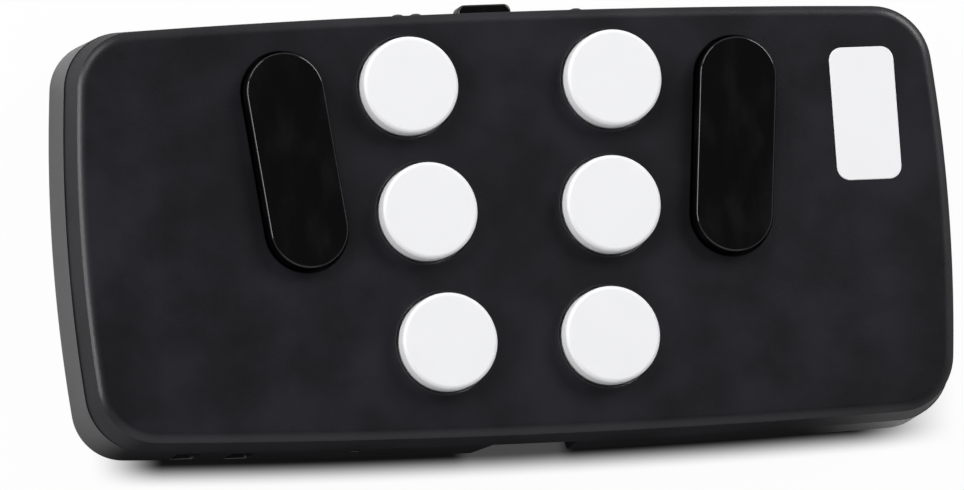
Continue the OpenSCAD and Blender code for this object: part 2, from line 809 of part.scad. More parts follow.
if (wanted("front_shell")) front_shell();
if (wanted("back_shell")) back_shell();
if (wanted("left_bar_key")) bar_key(-1);
if (wanted("right_bar_key")) bar_key(1);
for (n = DOTS) {
    if (wanted(str("dot_key_", n))) dot_key(n);
    if (wanted(str("dot_plunger_", n))) at_dot(n) plunger();
    if (wanted(str("dot_switch_", n))) at_dot(n) switch_housing();
}
if (wanted("left_bar_plunger")) at_bar(-1) plunger();
if (wanted("right_bar_plunger")) at_bar(1) plunger();
if (wanted("left_bar_switch")) at_bar(-1) switch_housing();
if (wanted("right_bar_switch")) at_bar(1) switch_housing();
if (wanted("switch_domes")) switch_domes();
if (wanted("main_board")) main_board();
if (wanted("board_chips")) board_chips();
if (wanted("radio_module")) radio_module();
if (wanted("board_screws")) board_screws();
if (wanted("usb_socket")) usb_socket();
if (wanted("usb_tongue")) usb_tongue();
if (wanted("power_slider")) power_slider();
if (wanted("power_lever")) power_lever();
if (wanted("power_switch_body")) power_switch_body();
if (wanted("battery")) battery();
if (wanted("battery_pad")) battery_pad();
if (wanted("battery_plug")) battery_plug();
if (wanted("battery_leads")) battery_leads();
if (wanted("vibration_motor")) vibration_motor();
if (wanted("motor_pad")) motor_pad();
if (wanted("motor_contacts")) motor_contacts();
if (wanted("case_screws")) case_screws();
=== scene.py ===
"""Builds the looks of a hand-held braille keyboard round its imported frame.

Sizes are in metres, and every piece lies in the frame's own coordinates: +Z out of the key face,
+X along the casing and +Y towards the edge with the power slider.
"""

import json
import math

import bmesh
import bpy
from bpy.props import FloatProperty, FloatVectorProperty, PointerProperty
from bpy.types import Operator, Panel, PropertyGroup
from mathutils import Euler, Matrix, Vector


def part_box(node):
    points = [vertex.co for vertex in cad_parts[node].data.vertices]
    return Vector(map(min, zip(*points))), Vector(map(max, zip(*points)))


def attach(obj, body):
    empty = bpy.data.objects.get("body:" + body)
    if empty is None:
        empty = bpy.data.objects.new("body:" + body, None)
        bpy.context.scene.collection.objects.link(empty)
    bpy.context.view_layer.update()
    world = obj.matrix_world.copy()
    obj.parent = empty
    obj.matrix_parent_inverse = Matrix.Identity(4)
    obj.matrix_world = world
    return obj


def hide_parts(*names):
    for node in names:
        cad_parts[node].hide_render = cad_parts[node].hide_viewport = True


bl_info = {
    "name": "Braille keyboard",
    "version": (1, 0, 0),
    "blender": (4, 5, 0),
    "location": "3D View > Sidebar > Keyboard",
    "description": "Builds and finishes a hand-held braille keyboard round its packed frame",
    "category": "Object",
}

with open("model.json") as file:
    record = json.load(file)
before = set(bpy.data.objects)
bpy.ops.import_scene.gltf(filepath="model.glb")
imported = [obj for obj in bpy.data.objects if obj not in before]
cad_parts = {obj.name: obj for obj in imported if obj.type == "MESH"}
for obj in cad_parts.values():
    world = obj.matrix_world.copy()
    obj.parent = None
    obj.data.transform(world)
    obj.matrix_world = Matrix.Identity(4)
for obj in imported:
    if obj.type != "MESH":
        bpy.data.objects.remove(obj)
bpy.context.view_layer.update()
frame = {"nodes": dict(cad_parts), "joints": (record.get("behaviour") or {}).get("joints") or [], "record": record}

MM = 0.001
# How far a cutter runs past the surface that it opens
PAST = 1 * MM
# How deep an added piece is rooted in what carries it
ROOT = 0.3 * MM
DOTS = range(1, 7)
SIDES = (-1, 1)
BAR_SIDES = {"left": -1, "right": 1}
QUARTER = math.pi / 2
# Steps along the long sides, the ends and the corners of the casing, and round the small edges
SIDE_STEPS = 20
END_STEPS = 12
CORNER_STEPS = 14
EDGE_STEPS = 8
ROUND_STEPS = 32
# Contacts on each face of the charging socket's tongue, their height as a share of its thickness,
# and how far their middle lies behind its tip as a share of their length
CONTACTS = 12
CONTACT_RISE = 0.06
CONTACT_MIDDLE = 0.6
# Where the ribs along the battery's sides begin, from its middle, as a share of its length
RIB_START = 0.25
# Points closer than this become one
WELD = 0.001 * MM
# Edges that turn by more than this stay crisp
CRISP = math.radians(32)
# The stretch of a noise that runs alike in all directions
EVEN = (1, 1, 1)
WHITE = (1, 1, 1, 1)

# The lights: azimuth from +X towards +Y and elevation in degrees, extent in metres
# and share of the full power
SOFTBOXES = {
    "left softbox": {"azimuth": 168, "elevation": 28, "extent": (0.6, 0.3), "strength": 1.0},
    "upper left softbox": {"azimuth": 122, "elevation": 40, "extent": (0.5, 0.3), "strength": 0.5},
    "upper right softbox": {"azimuth": 38, "elevation": 33, "extent": (0.5, 0.3), "strength": 0.95},
    "lower softbox": {"azimuth": 262, "elevation": 46, "extent": (1.1, 0.9), "strength": 0.34},
}

# Between which heights, from 0 at the horizon to 1 overhead, the surroundings grow dim
SKY_DIMS = (0.1, 1)
# The floor's paint, the colour of its painted shade where deepest, and how much of what the eye sees of it is a
# white glow
FLOOR_PAINT = (0.78, 0.78, 0.78, 1)
FLOOR_DARK = (0.02, 0.02, 0.02, 1)
FLOOR_GLOW = 0.96
# Where the shade painted on the floor begins and ends along X, as shares of the casing's length,
# for the eye and for reflections
SHADE_ENDS = ((-0.47, -0.385), (0.4, 0.53))
MIRRORED_ENDS = ((-0.52, -0.43), (0.34, 0.47))
# How far left the painted shade's arc is centred, as a share of the casing's length, so that it narrows to the
# right
SHADE_LEFT = 0.065
# Where the painted shade sets in under the casing, outwards from its lower edge as shares of its width
SHADE_UNDER = (-0.25, -0.15)
# How much darker the floor is painted for reflections than for the eye
MIRRORED_DIM = 0.5
# How much lighter the painted shade is at the relief, as a share of the floor's light
RELIEF_LIGHT = 0.06

FRONT_LOW, FRONT_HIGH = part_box("front_shell")
BACK_LOW, BACK_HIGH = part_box("back_shell")
KEY_LOW, KEY_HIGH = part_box("dot_key_1")
BAR_LOW, BAR_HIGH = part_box("left_bar_key")
SLIDER_LOW, SLIDER_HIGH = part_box("power_slider")
SOCKET_LOW, SOCKET_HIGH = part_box("usb_socket")
TONGUE_LOW, TONGUE_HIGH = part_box("usb_tongue")
SCREW_LOW, SCREW_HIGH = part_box("case_screws")
BOARD_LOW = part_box("main_board")[0]
BOARD_SCREW_LOW, BOARD_SCREW_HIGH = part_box("board_screws")
BATTERY_LOW, BATTERY_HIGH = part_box("battery")
TRAVEL = {joint["name"]: joint["range_m"][1] for joint in frame["joints"]}


def middle(node):
    """The middle of a CAD node's box."""
    low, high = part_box(node)
    return (low + high) / 2


# Settings


def size(name, description, default, least=0):
    """A length that a user may change."""
    return FloatProperty(
        name=name, description=description, default=default, min=least, precision=5, unit="LENGTH"
    )


def turn(name, description, degrees):
    """An angle that a user may change."""
    return FloatProperty(name=name, description=description, default=math.radians(degrees), subtype="ANGLE")


def share(name, description, default):
    """A plain number that a user may change."""
    return FloatProperty(name=name, description=description, default=default, min=0)


def colour(name, description, default):
    """A colour that a user may change."""
    return FloatVectorProperty(
        name=name, description=description, default=default, size=3, min=0, max=1, subtype="COLOR"
    )


class CasingSizes(PropertyGroup):
    """Sizes of the two shells."""

    length: size("Length", "Casing from end to end", BACK_HIGH.x - BACK_LOW.x)
    width: size("Width", "Casing across its long sides", 49.22 * MM)
    face_z: size("Face height", "Height of the key face", FRONT_HIGH.z)
    lip_z: size("Lip height", "Top of the back shell's lip", BACK_HIGH.z)
    lip_rise: size("Lip rise", "Lip above the parting line", 1.2 * MM)
    lip_wall: size("Lip wall", "Thickness of the lip", 0.8 * MM)
    lip_gap: size("Lip gap", "Gap between the lip and its rebate", 0.1 * MM)
    corner: size("Corner radius", "Radius of the casing's corners near the back", 5.8 * MM)
    corner_growth: size("Corner growth", "How much the corners' radius grows up to the face", 1.6 * MM)
    end_bow: size("End bow", "Radius of the bowed ends", 182 * MM)
    side_bow: size("Side bow", "Radius of the bowed long sides", 1170 * MM)
    face_edge: size("Face edge", "Radius of the rounding round the key face", 1.75 * MM)
    face_turn: turn("Face edge turn", "How far that rounding turns before it meets the walls in a crease", 46)
    face_lean: turn("Face lean", "Lean of the front shell's walls", 8.3)
    back_edge: size("Back edge", "Rounding round the back", 3 * MM)
    back_lean: turn("Back lean", "Lean of the back shell's walls", 0.1)
    wall: size("Wall", "Thickness of the side walls", 1.6 * MM)
    face_wall: size("Face wall", "Thickness of the key face", 1.6 * MM)
    floor_wall: size("Floor wall", "Thickness of the back", 1.6 * MM)
    seam: size("Seam", "Ledge along the parting line at the ends", 0.12 * MM)
    hole_edge: size("Hole edge", "Rounding of the key holes", 0.18 * MM)
    slot_edge: size("Slot edge", "Rounding of the slots in the side walls", 0.08 * MM)


class KeySizes(PropertyGroup):
    """Sizes of the round keys and the bar keys."""

    gap: size("Gap", "Gap round a key in its hole", 0.3 * MM)
    flange_reach: size("Flange reach", "Flange past the edge of the hole", 0.6 * MM)
    flange: size("Flange", "Thickness of a key's flange", 0.8 * MM)
    flange_edge: size("Flange edge", "Rounding round the flange of a round key", 0.1 * MM)
    dot_edge: size("Round key edge", "Rounding round the top of a round key", 0.48 * MM)
    bar_length: size("Bar length", "Length of a bar key", 24.6 * MM)
    bar_width: size("Bar width", "Width of a bar key", 9 * MM)
    bar_edge: size("Bar edge", "Rounding round the top of a bar key", 0.27 * MM)
    bar_lean: turn("Bar lean", "Lean of the bar keys", 6)
    guide: size("Guide pin", "Diameter of a bar key's guide pins", 2 * MM)
    guide_inset: size("Guide inset", "From a bar's end to its guide pin", 3.4 * MM)


class EdgeSizes(PropertyGroup):
    """Sizes of what sits in the side walls."""

    knob_length: size("Knob length", "Length of the power slider's knob", 6.2 * MM)
    knob_height: size("Knob height", "Height of the knob", 2.6 * MM)
    knob_corner: size("Knob corner", "Rounding of the knob's ends", 0.8 * MM)
    knob_edge: size("Knob edge", "Rounding along the knob's long edges", 0.3 * MM)
    knob_back: size("Knob set-back", "How far the knob stays behind the front of its frame piece", 0.34 * MM)
    knob_gap: size("Knob gap", "Gap round the knob in its slot", 0.3 * MM)
    plate: size("Slider plate", "Thickness of the plate behind the slot", 1.4 * MM)
    relief_width: size("Relief width", "Width of the charging socket's relief", 9.8 * MM)
    relief_flare: size("Relief flare", "How far the relief widens to the back", 1.2 * MM)
    relief_depth: size("Relief depth", "Depth of the relief", 1.8 * MM)
    relief_wall: size("Relief wall", "Wall behind the relief", 1.4 * MM)
    socket_gap: size("Socket gap", "Gap round the charging socket", 0.25 * MM)
    socket_wall: size("Socket wall", "Thickness of the socket's shell", 0.35 * MM)
    socket_edge: size("Socket edge", "Rounding of the socket's rim", 0.35 / 3 * MM)
    lanyard_inset: size("Lanyard inset", "From the left end to the lanyard bar", 16 * MM)
    lanyard_slot: size("Lanyard slot", "Width of a lanyard slot", 2.7 * MM)
    lanyard_bar: size("Lanyard bar", "Width of the bar between the slots", 3.6 * MM)
    lanyard_height: size("Lanyard height", "Height of the slots", 4.5 * MM)
    lanyard_corner: size("Lanyard corner", "Corner radius of the slots", 0.4 * MM)
    lanyard_depth: size("Lanyard depth", "Passage behind the bar", 2 * MM)
    lanyard_wall: size("Lanyard wall", "Wall round the passage", 1 * MM)
    lanyard_drop: size("Lanyard drop", "From the parting line to the slots", 1.8 * MM)
    pinhole: size("Pinhole", "Diameter of the reset pinhole", 1.2 * MM)
    pinhole_edge: size("Pinhole edge", "Rounding of the pinhole", 0.04 * MM)
    pinhole_inset: size("Pinhole inset", "From the left end to the pinhole", 32 * MM)
    pip: size("Pip", "Diameter of a tactile pip", 1.5 * MM)
    pip_rise: size("Pip rise", "Height of a tactile pip", 0.35 * MM)
    pip_reach: size("Pip reach", "From the slot's middle to the pips", 9.9 * MM)
    pip_pitch: size("Pip pitch", "Between the two pips of the pair", 2.1 * MM)
    pip_drop: size("Pip drop", "From the parting line to the pips", 1.3 * MM)
    rib_gap: size("Rib gap", "Gap between the battery and its ribs", 0.2 * MM)
    rib_wall: size("Rib wall", "Thickness of the battery's ribs", 0.8 * MM)
    rib_height: size("Rib height", "Height of the battery's ribs", 1.5 * MM)
    contact_width: size("Contact width", "Width of a contact in the charging socket", 0.25 * MM)
    contact_length: size("Contact length", "Length of a contact", 3.4 * MM)
    contact_pitch: size("Contact pitch", "Distance between contacts", 0.44 * MM)
    tongue: size("Tongue", "Thickness of the socket's tongue", 0.7 * MM)
    plate_width: size("Blank plate width", "Width of the blank plate on the face", 7.6 * MM)
    plate_length: size("Blank plate length", "Length of the blank plate", 15.2 * MM)
    plate_corner: size("Blank plate corner", "Corner radius of the blank plate", 1.5 * MM)
    plate_rise: size("Blank plate rise", "Thickness of the blank plate", 0.15 * MM)
    plate_edge: size("Blank plate edge", "Rounding round the blank plate", 0.105 * MM)
    plate_inset: size("Blank plate inset", "From the right end to the plate's middle", 9.9 * MM)
    plate_up: size("Blank plate height", "From the casing's middle up to the plate's middle", 10.9 * MM)


class FastenerSizes(PropertyGroup):
    """Sizes of the screws and of what they go into."""

    screw: size("Screw", "Diameter of a screw", 2 * MM)
    head: size("Head", "Diameter of a screw head", 3.6 * MM)
    head_height: size("Head height", "Height of a screw head", 1.2 * MM)
    clearance: size("Clearance", "Gap round a screw", 0.15 * MM)
    wall: size("Boss wall", "Wall round a screw", 1.1 * MM)
    cross_length: size("Cross length", "Length of the cross in a head", 2.1 * MM)
    cross_width: size("Cross width", "Width of the cross", 0.5 * MM)
    cross_depth: size("Cross depth", "Depth of the cross", 0.6 * MM)


class FinishColours(PropertyGroup):
    """Colours of the finishes."""

    casing: colour("Casing", "Moulded casing", (0.0095, 0.0095, 0.0125))
    white: colour("Round keys", "Satin white keys", (0.83, 0.83, 0.845))
    gloss: colour("Bar keys", "Polished black", (0.0022, 0.0022, 0.0024))
    nylon: colour("Plungers", "Natural nylon", (0.6, 0.56, 0.48))
    housing: colour("Switches", "Switch housings", (0.035, 0.035, 0.038))
    board: colour("Board", "Solder mask", (0.01, 0.12, 0.045))
    chip: colour("Chips", "Moulded chips", (0.012, 0.012, 0.013))
    steel: colour("Steel", "Plated steel", (0.56, 0.57, 0.58))
    gold: colour("Contacts", "Gold plate", (0.78, 0.54, 0.2))
    foil: colour("Battery", "Foil pouch", (0.52, 0.53, 0.55))
    foam: colour("Foam", "Foam tape", (0.06, 0.06, 0.065))
    lead: colour("Leads", "Insulated wire", (0.35, 0.02, 0.02))


class StageSizes(PropertyGroup):
    """The floor, the lights and the camera."""

    floor: size("Floor", "Radius of the floor", 4.5)
    camera_reach: size("Camera distance", "From the camera to what it looks at", 1.633)
    lens: share("Lens", "Focal length of the camera in millimetres", 542.29)
    aim_left: size("Aim left", "From the casing's middle left to what the camera looks at", 4.553 * MM)
    aim_down: size("Aim down", "From the casing's middle down to what the camera looks at", 2.436 * MM)
    pitch: turn("Camera pitch", "Turn of the camera about X", 8.172)
    yaw: turn("Camera yaw", "Turn of the camera about Y", -14.562)
    roll: turn("Camera roll", "Turn of the camera about Z", -4.265)
    # These three place the shade painted on the floor along the casing's lower edge, the last one for reflections
    shade_near: size("Shade start", "From the casing to where its contact shade fades", -0.1 * MM, -1 * MM)
    shade_far: size("Shade end", "From the casing to where its contact shade ends", 2.75 * MM)
    shade_mirrored: size("Mirrored shade end", "Where the shade ends for reflections", 30 * MM)
    zenith: share("Zenith", "Brightness of the surroundings overhead", 0.05)
    horizon: share("Horizon", "Brightness of the surroundings at the horizon", 0.72)
    lamp_reach: size("Light distance", "From the keyboard to the lights", 1)
    lamp_power: share("Light power", "Power of a light of full strength in watts", 5.6)


class KeyboardSettings(PropertyGroup):
    """Everything that a user may change."""

    casing: PointerProperty(type=CasingSizes)
    keys: PointerProperty(type=KeySizes)
    edges: PointerProperty(type=EdgeSizes)
    fasteners: PointerProperty(type=FastenerSizes)
    colours: PointerProperty(type=FinishColours)
    stage: PointerProperty(type=StageSizes)


# Outlines


def arc(centre, radius, start, end, steps):
    """Points along an arc, both ends included."""
    angles = [start + (end - start) * k / steps for k in range(steps + 1)]
    return [Vector(centre) + radius * Vector((math.cos(a), math.sin(a))) for a in angles]


def circle(radius, steps=2 * ROUND_STEPS):
    """A closed circle of points."""
    return arc((0, 0), radius, 0, 2 * math.pi, steps)[:-1]


def stadium(length, width):
    """A long outline with round ends, along Y."""
    reach = (length - width) / 2
    upper = arc((0, reach), width / 2, 0, math.pi, ROUND_STEPS)
    return upper + arc((0, -reach), width / 2, math.pi, 2 * math.pi, ROUND_STEPS)


def rounded_rectangle(width, height, radius):
    """A rectangle with round corners."""
    across = width / 2 - radius
    up = height / 2 - radius
    corners = [(across, up), (-across, up), (-across, -up), (across, -up)]
    points = []
    for k, corner in enumerate(corners):
        points += arc(corner, radius, k * QUARTER, (k + 1) * QUARTER, EDGE_STEPS)
    return points


class CasingOutline:
    """The casing seen from above: four bowed sides and the corners between them."""

    def __init__(self, sizes):
        self.sizes = sizes
        self.parting = sizes.lip_z - sizes.lip_rise
        self.end_centre = Vector((sizes.length / 2 - sizes.end_bow, 0))
        self.side_centre = Vector((0, sizes.width / 2 - sizes.side_bow))

    def corner_centre(self, end_centre, to_end, to_side):
        """The centre of the corner's arc, from how far it lies from the centres of the end and the side."""
        between = self.side_centre - end_centre
        along = (to_end**2 - to_side**2 + between.length_squared) / (2 * between.length)
        across = math.sqrt(to_end**2 - along**2)
        way = between.normalized()
        return end_centre + along * way + across * Vector((-way.y, way.x))

    def points(self, inset, growth=0, ends_in=0):
        """The outline drawn in by inset, its corners grown and its ends moved in, as a closed loop."""
        end_bow = self.sizes.end_bow - inset
        side_bow = self.sizes.side_bow - inset
        corner = self.sizes.corner + growth - inset
        end_centre = self.end_centre - Vector((ends_in, 0))
        centre = self.corner_centre(end_centre, end_bow - corner, side_bow - corner)
        from_end = centre - end_centre
        from_side = centre - self.side_centre
        end_turn = math.atan2(from_end.y, from_end.x)
        side_turn = math.atan2(from_side.y, from_side.x)
        quarter = arc(end_centre, end_bow, 0, end_turn, END_STEPS)
        quarter += arc(centre, corner, end_turn, side_turn, CORNER_STEPS)[1:]
        quarter += arc(self.side_centre, side_bow, side_turn, QUARTER, SIDE_STEPS)[1:]
        half = quarter + [Vector((-p.x, p.y)) for p in reversed(quarter[:-1])]
        return half + [-p for p in half[1:-1]]

    def rings(self, steps, ends_in=0):
        """Rings of the outline for pairs of inset and height."""
        return [raised(self.points(inset, self.growth(z), ends_in), z) for inset, z in steps]

    def growth(self, z):
        """How much the corners' radius has grown at a height."""
        sizes = self.sizes
        return sizes.corner_growth * max(z - sizes.back_edge, 0) / (sizes.face_z - sizes.back_edge)

    def back_in(self, z):
        """How far in the back shell's walls lie at a height."""
        return max(z - self.sizes.back_edge, 0) * math.tan(self.sizes.back_lean)

    def front_in(self, z):
        """How far in the front shell's walls lie at a height."""
        return self.back_in(self.parting) + (z - self.parting) * math.tan(self.sizes.face_lean)

    def bow(self, x):
        """How far a long side has bowed in at a place along it."""
        return self.sizes.side_bow - math.sqrt(self.sizes.side_bow**2 - x**2)

    def wall_place(self, x, z, upper=False):
        """A place on the back shell's long wall, with +Z out of the wall and +Y up it."""
        out = self.sizes.width / 2 - self.bow(x) - self.back_in(z)
        facing = Matrix.Rotation(QUARTER - self.sizes.back_lean, 4, "X")
        if upper:
            return Matrix.Translation((x, out, z)) @ Matrix.Rotation(math.pi, 4, "Z") @ facing
        return Matrix.Translation((x, -out, z)) @ facing


# Solids


def raised(points, z):
    """Flat points lifted to a height."""
    return [Vector((p.x, p.y, z)) for p in points]


def rounded_edge(radius, steps=EDGE_STEPS):
    """Pairs of how far in and how far down a rounded edge lies, from the side to the top."""
    angles = [QUARTER * k / steps for k in range(steps + 1)]
    return [(radius * (1 - math.cos(a)), radius * (1 - math.sin(a))) for a in angles]


def new_object(name, mesh):
    """A mesh or a bmesh as an object in the scene."""
    if isinstance(mesh, bmesh.types.BMesh):
        data = bpy.data.meshes.new(name)
        mesh.to_mesh(data)
        mesh.free()
        mesh = data
    piece = bpy.data.objects.new(name, mesh)
    bpy.context.scene.collection.objects.link(piece)
    return piece


def loft(name, rings, place=Matrix()):
    """A closed solid through rings of equally many points, from the lowest ring to the highest."""
    mesh = bmesh.new()
    loops = [[mesh.verts.new(place @ p) for p in ring] for ring in rings]
    count = len(loops[0])
    for lower, upper in zip(loops, loops[1:]):
        for k in range(count):
            after = (k + 1) % count
            mesh.faces.new((lower[k], lower[after], upper[after], upper[k]))
    mesh.faces.new(loops[0][::-1])
    mesh.faces.new(loops[-1])
    return new_object(name, mesh)


def block(name, low, high):
    """A box between two corners."""
    (x0, x1), (y0, y1), (z0, z1) = (sorted(pair) for pair in zip(low, high))
    corners = [Vector(corner) for corner in ((x0, y0), (x1, y0), (x1, y1), (x0, y1))]
    return loft(name, [raised(corners, z0), raised(corners, z1)])


def post(name, place, diameter, low, high):
    """An upright round post."""
    spot = Matrix.Translation((place[0], place[1], 0))
    return loft(name, [raised(circle(diameter / 2), low), raised(circle(diameter / 2), high)], spot)


def hole(name, outline, depth, edge, place):
    """A cutter for a hole with a rounded mouth: outline gives its points for a growth, and +Z leads out."""
    rings = [raised(outline(0), -depth)]
    rings += [raised(outline(inset), -down) for inset, down in rounded_edge(edge)]
    rings.append(raised(outline(edge), PAST))
    return loft(name, rings, place)


def settle(piece):
    """Turns what a piece's modifiers give into its own plain mesh."""
    graph = bpy.context.evaluated_depsgraph_get()
    mesh = bpy.data.meshes.new_from_object(piece.evaluated_get(graph), depsgraph=graph)
    old = piece.data
    piece.modifiers.clear()
    piece.data = mesh
    mesh.name = piece.name
    bpy.data.meshes.remove(old)


def carve(piece, operation, others):
    """Joins solids to a piece, or cuts them from it, and removes them."""
    for other in others:
        step = piece.modifiers.new(other.name, "BOOLEAN")
        step.operation = operation
        step.solver = "MANIFOLD"
        step.object = other
    settle(piece)
    for other in others:
        bpy.data.meshes.remove(other.data)


def dress(piece, finish, body, slot, *nodes):
    """Smooths a piece, gives it its finish and seats it on its body in place of the CAD nodes."""
    mesh = piece.data
    mesh.materials.clear()
    mesh.materials.append(finish)
    mesh.shade_smooth()
    mesh.set_sharp_from_angle(angle=CRISP)
    even = piece.modifiers.new("Even normals", "WEIGHTED_NORMAL")
    even.keep_sharp = True
    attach(piece, body)
    if nodes:
        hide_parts(*nodes)


# Node graphs


class Term:
    """A node's output that takes part in Python expressions."""

    def __init__(self, graph, socket):
        self.graph = graph
        self.socket = socket

    def __add__(self, other):
        return self.graph.maths("ADD", self, other)

    def __sub__(self, other):
        return self.graph.maths("SUBTRACT", self, other)

    def __rsub__(self, other):
        return self.graph.maths("SUBTRACT", other, self)

    def __mul__(self, other):
        return self.graph.maths("MULTIPLY", self, other)

    def __truediv__(self, other):
        return self.graph.maths("DIVIDE", self, other)

    def __neg__(self):
        return self.graph.maths("MULTIPLY", self, -1)

    __radd__ = __add__
    __rmul__ = __mul__


class Graph:
    """A node tree that is built by calls."""

    def __init__(self, tree):
        self.tree = tree

    def node(self, kind, settings=None, inputs=None, output=0):
        """Adds a node: its settings first, then the values or links of its sockets."""
        made = self.tree.nodes.new(kind)
        for name, value in (settings or {}).items():
            if name == "items":
                for _ in range(value - len(made.index_switch_items)):
                    made.index_switch_items.new()
            else:
                setattr(made, name, value)
        for name, value in (inputs or {}).items():
            self.feed(made.inputs[name], value)
        return Term(self, made.outputs[output]) if made.outputs else made

    def feed(self, socket, value):
        """Links a term to a socket, or sets the socket's own value."""
        if isinstance(value, Term):
            self.tree.links.new(value.socket, socket)
        elif isinstance(value, (list, tuple)) and value and isinstance(value[0], Term):
            for term in value:
                self.tree.links.new(term.socket, socket)
        else:
            socket.default_value = value

    def maths(self, operation, a, b):
        """A Math node on two terms or numbers."""
        return self.node("ShaderNodeMath", {"operation": operation}, {0: a, 1: b})

    def step(self, term, low, high):
        """0 below low, 1 above high and a smooth rise between them."""
        settings = {"interpolation_type": "SMOOTHSTEP"}
        return self.node("ShaderNodeMapRange", settings, {0: term, 1: low, 2: high})


class Shader(Graph):
    """A material's graph, with the patterns that the finishes share."""

    def __init__(self, name):
        self.material = bpy.data.materials.new(name)
        self.material.use_nodes = True
        super().__init__(self.material.node_tree)
        self.tree.nodes.clear()
        self.place = self.node("ShaderNodeTexCoord", output="Object")

    def noise(self, feature, detail=2, stretch=EVEN):
        """Soft noise from 0 to 1, with features of about that size."""
        place = self.place
        if stretch != EVEN:
            place = self.node("ShaderNodeMapping", inputs={"Vector": place, "Scale": stretch})
        inputs = {"Vector": place, "Scale": 1 / feature, "Detail": detail}
        return self.node("ShaderNodeTexNoise", inputs=inputs)

    def mix(self, factor, first, second):
        """A colour between two colours, by the Mix node's colour sockets 6 and 7 and its colour output 2."""
        pair = [(*c, 1) if not isinstance(c, Term) else c for c in (first, second)]
        inputs = {0: factor, 6: pair[0], 7: pair[1]}
        return self.node("ShaderNodeMix", {"data_type": "RGBA"}, inputs, output=2)

    def bump(self, height, depth):
        """A normal from a height map whose full range is that deep."""
        return self.node("ShaderNodeBump", inputs={"Height": height, "Distance": depth})

    def surface(self, **sockets):
        """The material, with these sockets of its surface shader set or linked."""
        inputs = {}
        for name, value in sockets.items():
            inputs[name.replace("_", " ").title().replace("Ior", "IOR")] = value
        shader = self.node("ShaderNodeBsdfPrincipled", inputs=inputs)
        self.node("ShaderNodeOutputMaterial", inputs={"Surface": shader})
        return self.material


def tinted(rgb, factor):
    """A colour made lighter or darker."""
    return tuple(min(1, c * factor) for c in rgb)


# Finishes


def moulded_black(name, tone, rough, shine, coat):
    """Moulded black plastic with a fine grain and faint clouds."""
    shader = Shader(name)
    clouds = shader.noise(9 * MM, detail=6)
    grain = shader.noise(0.22 * MM)
    mottled = shader.mix(shader.step(clouds, 0.3, 0.7), tinted(tone, 0.65), tinted(tone, 1.35))
    return shader.surface(
        base_color=mottled,
        roughness=rough - 0.05 + 0.1 * clouds + 0.06 * grain,
        specular_ior_level=shine,
        coat_weight=coat,
        coat_roughness=0.2,
        normal=shader.bump(grain, 0.012 * MM),
    )


def face_finish(name, colours):
    """The front shell's soft matt black."""
    return moulded_black(name, colours.casing, rough=0.33, shine=0.38, coat=0)


def tray_finish(name, colours):
    """The back shell's harder, slightly shinier black."""
    return moulded_black(name, colours.casing, rough=0.3, shine=0.5, coat=0.9)


def white_finish(name, colours):
    """Satin white plastic."""
    shader = Shader(name)
    clouds = shader.noise(4 * MM, detail=3)
    grain = shader.noise(0.15 * MM)
    tone = shader.mix(clouds, tinted(colours.white, 0.985), tinted(colours.white, 1.01))
    return shader.surface(
        base_color=tone,
        roughness=0.36 + 0.08 * clouds,
        normal=shader.bump(grain, 0.003 * MM),
    )


def gloss_finish(name, colours):
    """Polished black plastic, a little wavy, with faint smears of lighter colour that also paint a soft sheen
    streaked along Y.
    """
    shader = Shader(name)
    # Smears lighter in colour: partly real smearing, partly a painted sheen streaked along Y
    smudge_and_sheen = shader.step(shader.noise(3 * MM, detail=3, stretch=(1, 0.4, 1)), 0.45, 0.75)
    waves = shader.noise(9 * MM, detail=0, stretch=(1, 0.3, 1))
    tone = shader.mix(smudge_and_sheen, colours.gloss, tinted(colours.gloss, 2.6))
    return shader.surface(
        base_color=tone,
        roughness=0.05 + 0.05 * smudge_and_sheen,
        normal=shader.bump(waves, 0.2 * MM),
    )


def clouded(name, tone, feature, detail, tints, rough, depth=0, metallic=0, stretch=EVEN):
    """A finish of one tone, whose tint, roughness and relief all follow one noise."""
    shader = Shader(name)
    noise = shader.noise(feature, detail, stretch)
    low, high = rough
    sockets = {
        "base_color": shader.mix(noise, *(tinted(tone, tint) for tint in tints)),
        "roughness": low + (high - low) * noise,
        "metallic": metallic,
    }
    if depth:
        sockets["normal"] = shader.bump(noise, depth)
    return shader.surface(**sockets)


def nylon_finish(name, colours):
    """Natural nylon, a little cloudy."""
    return clouded(name, colours.nylon, 1.5 * MM, detail=3, tints=(0.92, 1.06), rough=(0.42, 0.52))


def moulded_finish(name, colours):
    """Plain moulded plastic of the switch housings."""
    return clouded(
        name, colours.housing, 0.3 * MM, detail=2, tints=(0.85, 1.2), rough=(0.5, 0.62), depth=0.01 * MM
    )


def chip_finish(name, colours):
    """Dark speckled chip resin."""
    return clouded(
        name, colours.chip, 0.12 * MM, detail=1, tints=(0.7, 1.5), rough=(0.48, 0.6), depth=0.006 * MM
    )


def lead_finish(name, colours):
    """Insulated wire."""
    return clouded(name, colours.lead, 1.2 * MM, detail=2, tints=(0.85, 1.1), rough=(0.4, 0.5))


def steel_finish(name, colours):
    """Plated steel with drawn streaks."""
    return clouded(
        name,
        colours.steel,
        0.3 * MM,
        detail=3,
        tints=(0.88, 1.08),
        rough=(0.2, 0.38),
        depth=0.004 * MM,
        metallic=1,
        stretch=(0.06, 1, 1),
    )


def gold_finish(name, colours):
    """Gold-plated contacts."""
    return clouded(
        name, colours.gold, 0.4 * MM, detail=3, tints=(0.9, 1.08), rough=(0.18, 0.34), metallic=1
    )


def foil_finish(name, colours):
    """Dull foil pouch with soft creases."""
    return clouded(
        name,
        colours.foil,
        3.5 * MM,
        detail=4,
        tints=(0.9, 1.08),
        rough=(0.34, 0.48),
        depth=0.12 * MM,
        metallic=0.9,
    )


